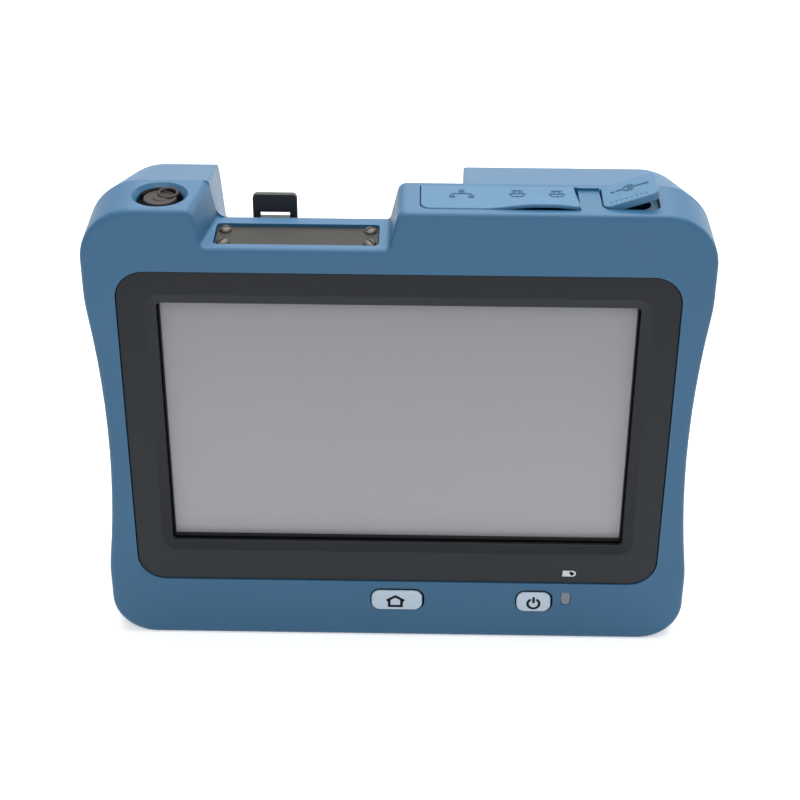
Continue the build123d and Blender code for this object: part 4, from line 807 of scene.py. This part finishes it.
sleeve = arc(0, 0, 1.7, 40, 320, 24)
leads = [[(0.6, 0), (4.6, 0)], [(-1.7, 0), (-4.0, 0)]]
plus = [[(5.5, -0.9), (5.5, 0.9)], [(4.6, 0), (6.4, 0)]]
minus = [(-5.8, 0), (-4.4, 0)]
centre_pin = arc(0, 0, 0.65, 0, 342, 19)
mark("polarity_sign", on_flap(8.6, 1.5), sign_blue, "power_cover",
     [sleeve, *leads, *plus, minus], plates=[centre_pin], rise=0.2)
grips = [[(2.5 + 1.6 * i, -5.4), (2.5 + 1.6 * i, -3.6)] for i in range(8)]
mark("finger_grip", on_flap(0, 0), cover_rubber, "power_cover", grips, width=0.6,
     rise=0.22)

# Sockets under the covers: a network jack with its eight contacts, the two data sockets with
# their tongues, and the round power inlet. They stand on the main board.
socket_metal = finish("socket_metal", (0.5, 0.5, 0.5), (0.62, 0.62, 0.62), 0.28, 0.0005, 0.00001,
                      metallic=1)
contact_gold = finish("contact_gold", (0.75, 0.52, 0.16), (0.6, 0.4, 0.12), 0.3, 0.0004, 0.000005,
                      metallic=1)
for name in ("lan_socket", "usb_socket", "micro_usb_socket"):
    dress(name, socket_metal, round_edges=0.15 * MM)
dress("dc_jack", black_plastic, round_edges=0.2 * MM)


def comb(name, socket, start, end, count, along):
    """A row of thin gold contacts between two corners, spread along x (0) or y (1). The corners
    are in millimetres from the middle of the socket's mouth."""
    low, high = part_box(socket)
    mouth = Vector(((low.x + high.x) / 2, (low.y + high.y) / 2, high.z))
    first = mouth + Vector(start) * MM
    last = mouth + Vector(end) * MM
    pitch = (last - first)[along] / count
    bar = last - first
    bar[along] = pitch * 0.45
    shape = bmesh.new()
    for i in range(count):
        spot = (first + last) / 2
        spot[along] = first[along] + pitch * (i + 0.5)
        add_block(shape, bar, spot)
    add_piece(name, shape, contact_gold, "case")


comb("lan_contacts", "lan_socket", (-4.2, 3.3, -14.5), (4.2, 3.9, -2), count=8, along=0)
comb("usb_contacts", "usb_socket", (0.8, -4.2, -10), (1.1, 4.2, -1.5), count=4, along=1)

# Stylus: a flat black pen whose slotted tab stands in the notch behind the low section. Its
# body slides into a moulded sleeve inside the case.
dress("stylus", black_plastic, round_edges=0.4 * MM)
dress("stylus_sleeve", black_plastic)

# Stand: a ribbed leg in a recess of the back. It turns on two steel pins and stands on a
# rubber pad.
dress("stand_leg", black_plastic, round_edges=0.4 * MM)
dress("stand_foot_pad", rubber_black, round_edges=0.2 * MM)
paint_nodes(screw_steel, "stand_hinge_pins")
pad_low, pad_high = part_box("stand_foot_pad")
RIB_COUNT = 15
RIB_MARGIN = 4 * MM
rib_pitch = (pad_high.x - pad_low.x - 2 * RIB_MARGIN) / (RIB_COUNT - 1)
shape = bmesh.new()
for i in range(RIB_COUNT):
    x = pad_low.x + RIB_MARGIN + rib_pitch * i
    spot = Vector((x, pad_high.y, (pad_low.z + pad_high.z) / 2))
    add_block(shape, (1.2 * MM, 0.5 * MM, 4.2 * MM), spot)
add_piece("stand_pad_ribs", shape, rubber_black, "stand")

# Battery door: a black lid let into the back, with a row of raised grip bars between its two
# captive screws. The battery sits behind it in heat-shrink wrap.
door_plastic = finish("door_plastic", (0.035, 0.04, 0.044), (0.06, 0.065, 0.07), 0.5, 0.0006, 0.00005)
battery_wrap = finish("battery_wrap", (0.02, 0.07, 0.16), (0.035, 0.1, 0.2), 0.35, 0.002, 0.00003)
dress("battery_door", door_plastic, round_edges=0.3 * MM)
dress("battery_door_screws", screw_steel, round_edges=0.1 * MM)
paint_nodes(battery_wrap, "battery_pack")
door_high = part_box("battery_door")[1]
shape = bmesh.new()
for i in range(9):
    spot = Vector(((i - 4) * 5.2 * MM, door_high.y, door_high.z - 9 * MM))
    add_block(shape, (2.2 * MM, 0.7 * MM, 9 * MM), spot)
bars = add_piece("battery_door_grip", shape, door_plastic, "case")
soften(bars, 0.25 * MM)

# Screws that join the shells, deep in the four columns of the back, and the speaker behind
# its slots with a woven dust cloth.
dress("case_screws", screw_steel, round_edges=0.1 * MM)
speaker_cloth = finish("speaker_cloth", (0.01, 0.01, 0.011), (0.02, 0.02, 0.021), 0.85, 0.0004, 0.00015)
dress("speaker", speaker_cloth)

# Inside the case: the chassis plate with its screws, the green boards and their parts, the
# optical module, the fibre spool and the key switches.
board_green = finish("board_green", (0.02, 0.11, 0.055), (0.03, 0.15, 0.08), 0.35, 0.0008, 0.00002)
spool_white = finish("spool_white", (0.6, 0.6, 0.58), (0.52, 0.52, 0.5), 0.5, 0.0005, 0.00001)
paint_nodes(chassis_alloy, "chassis_frame", "otdr_module")
paint_nodes(screw_steel, "chassis_screws", "board_screws")
paint_nodes(board_green, "main_board", "keypad_board")
paint_nodes(socket_metal, "processor_shield")
paint_nodes(black_plastic, "key_switches")
paint_nodes(spool_white, "fiber_spool")
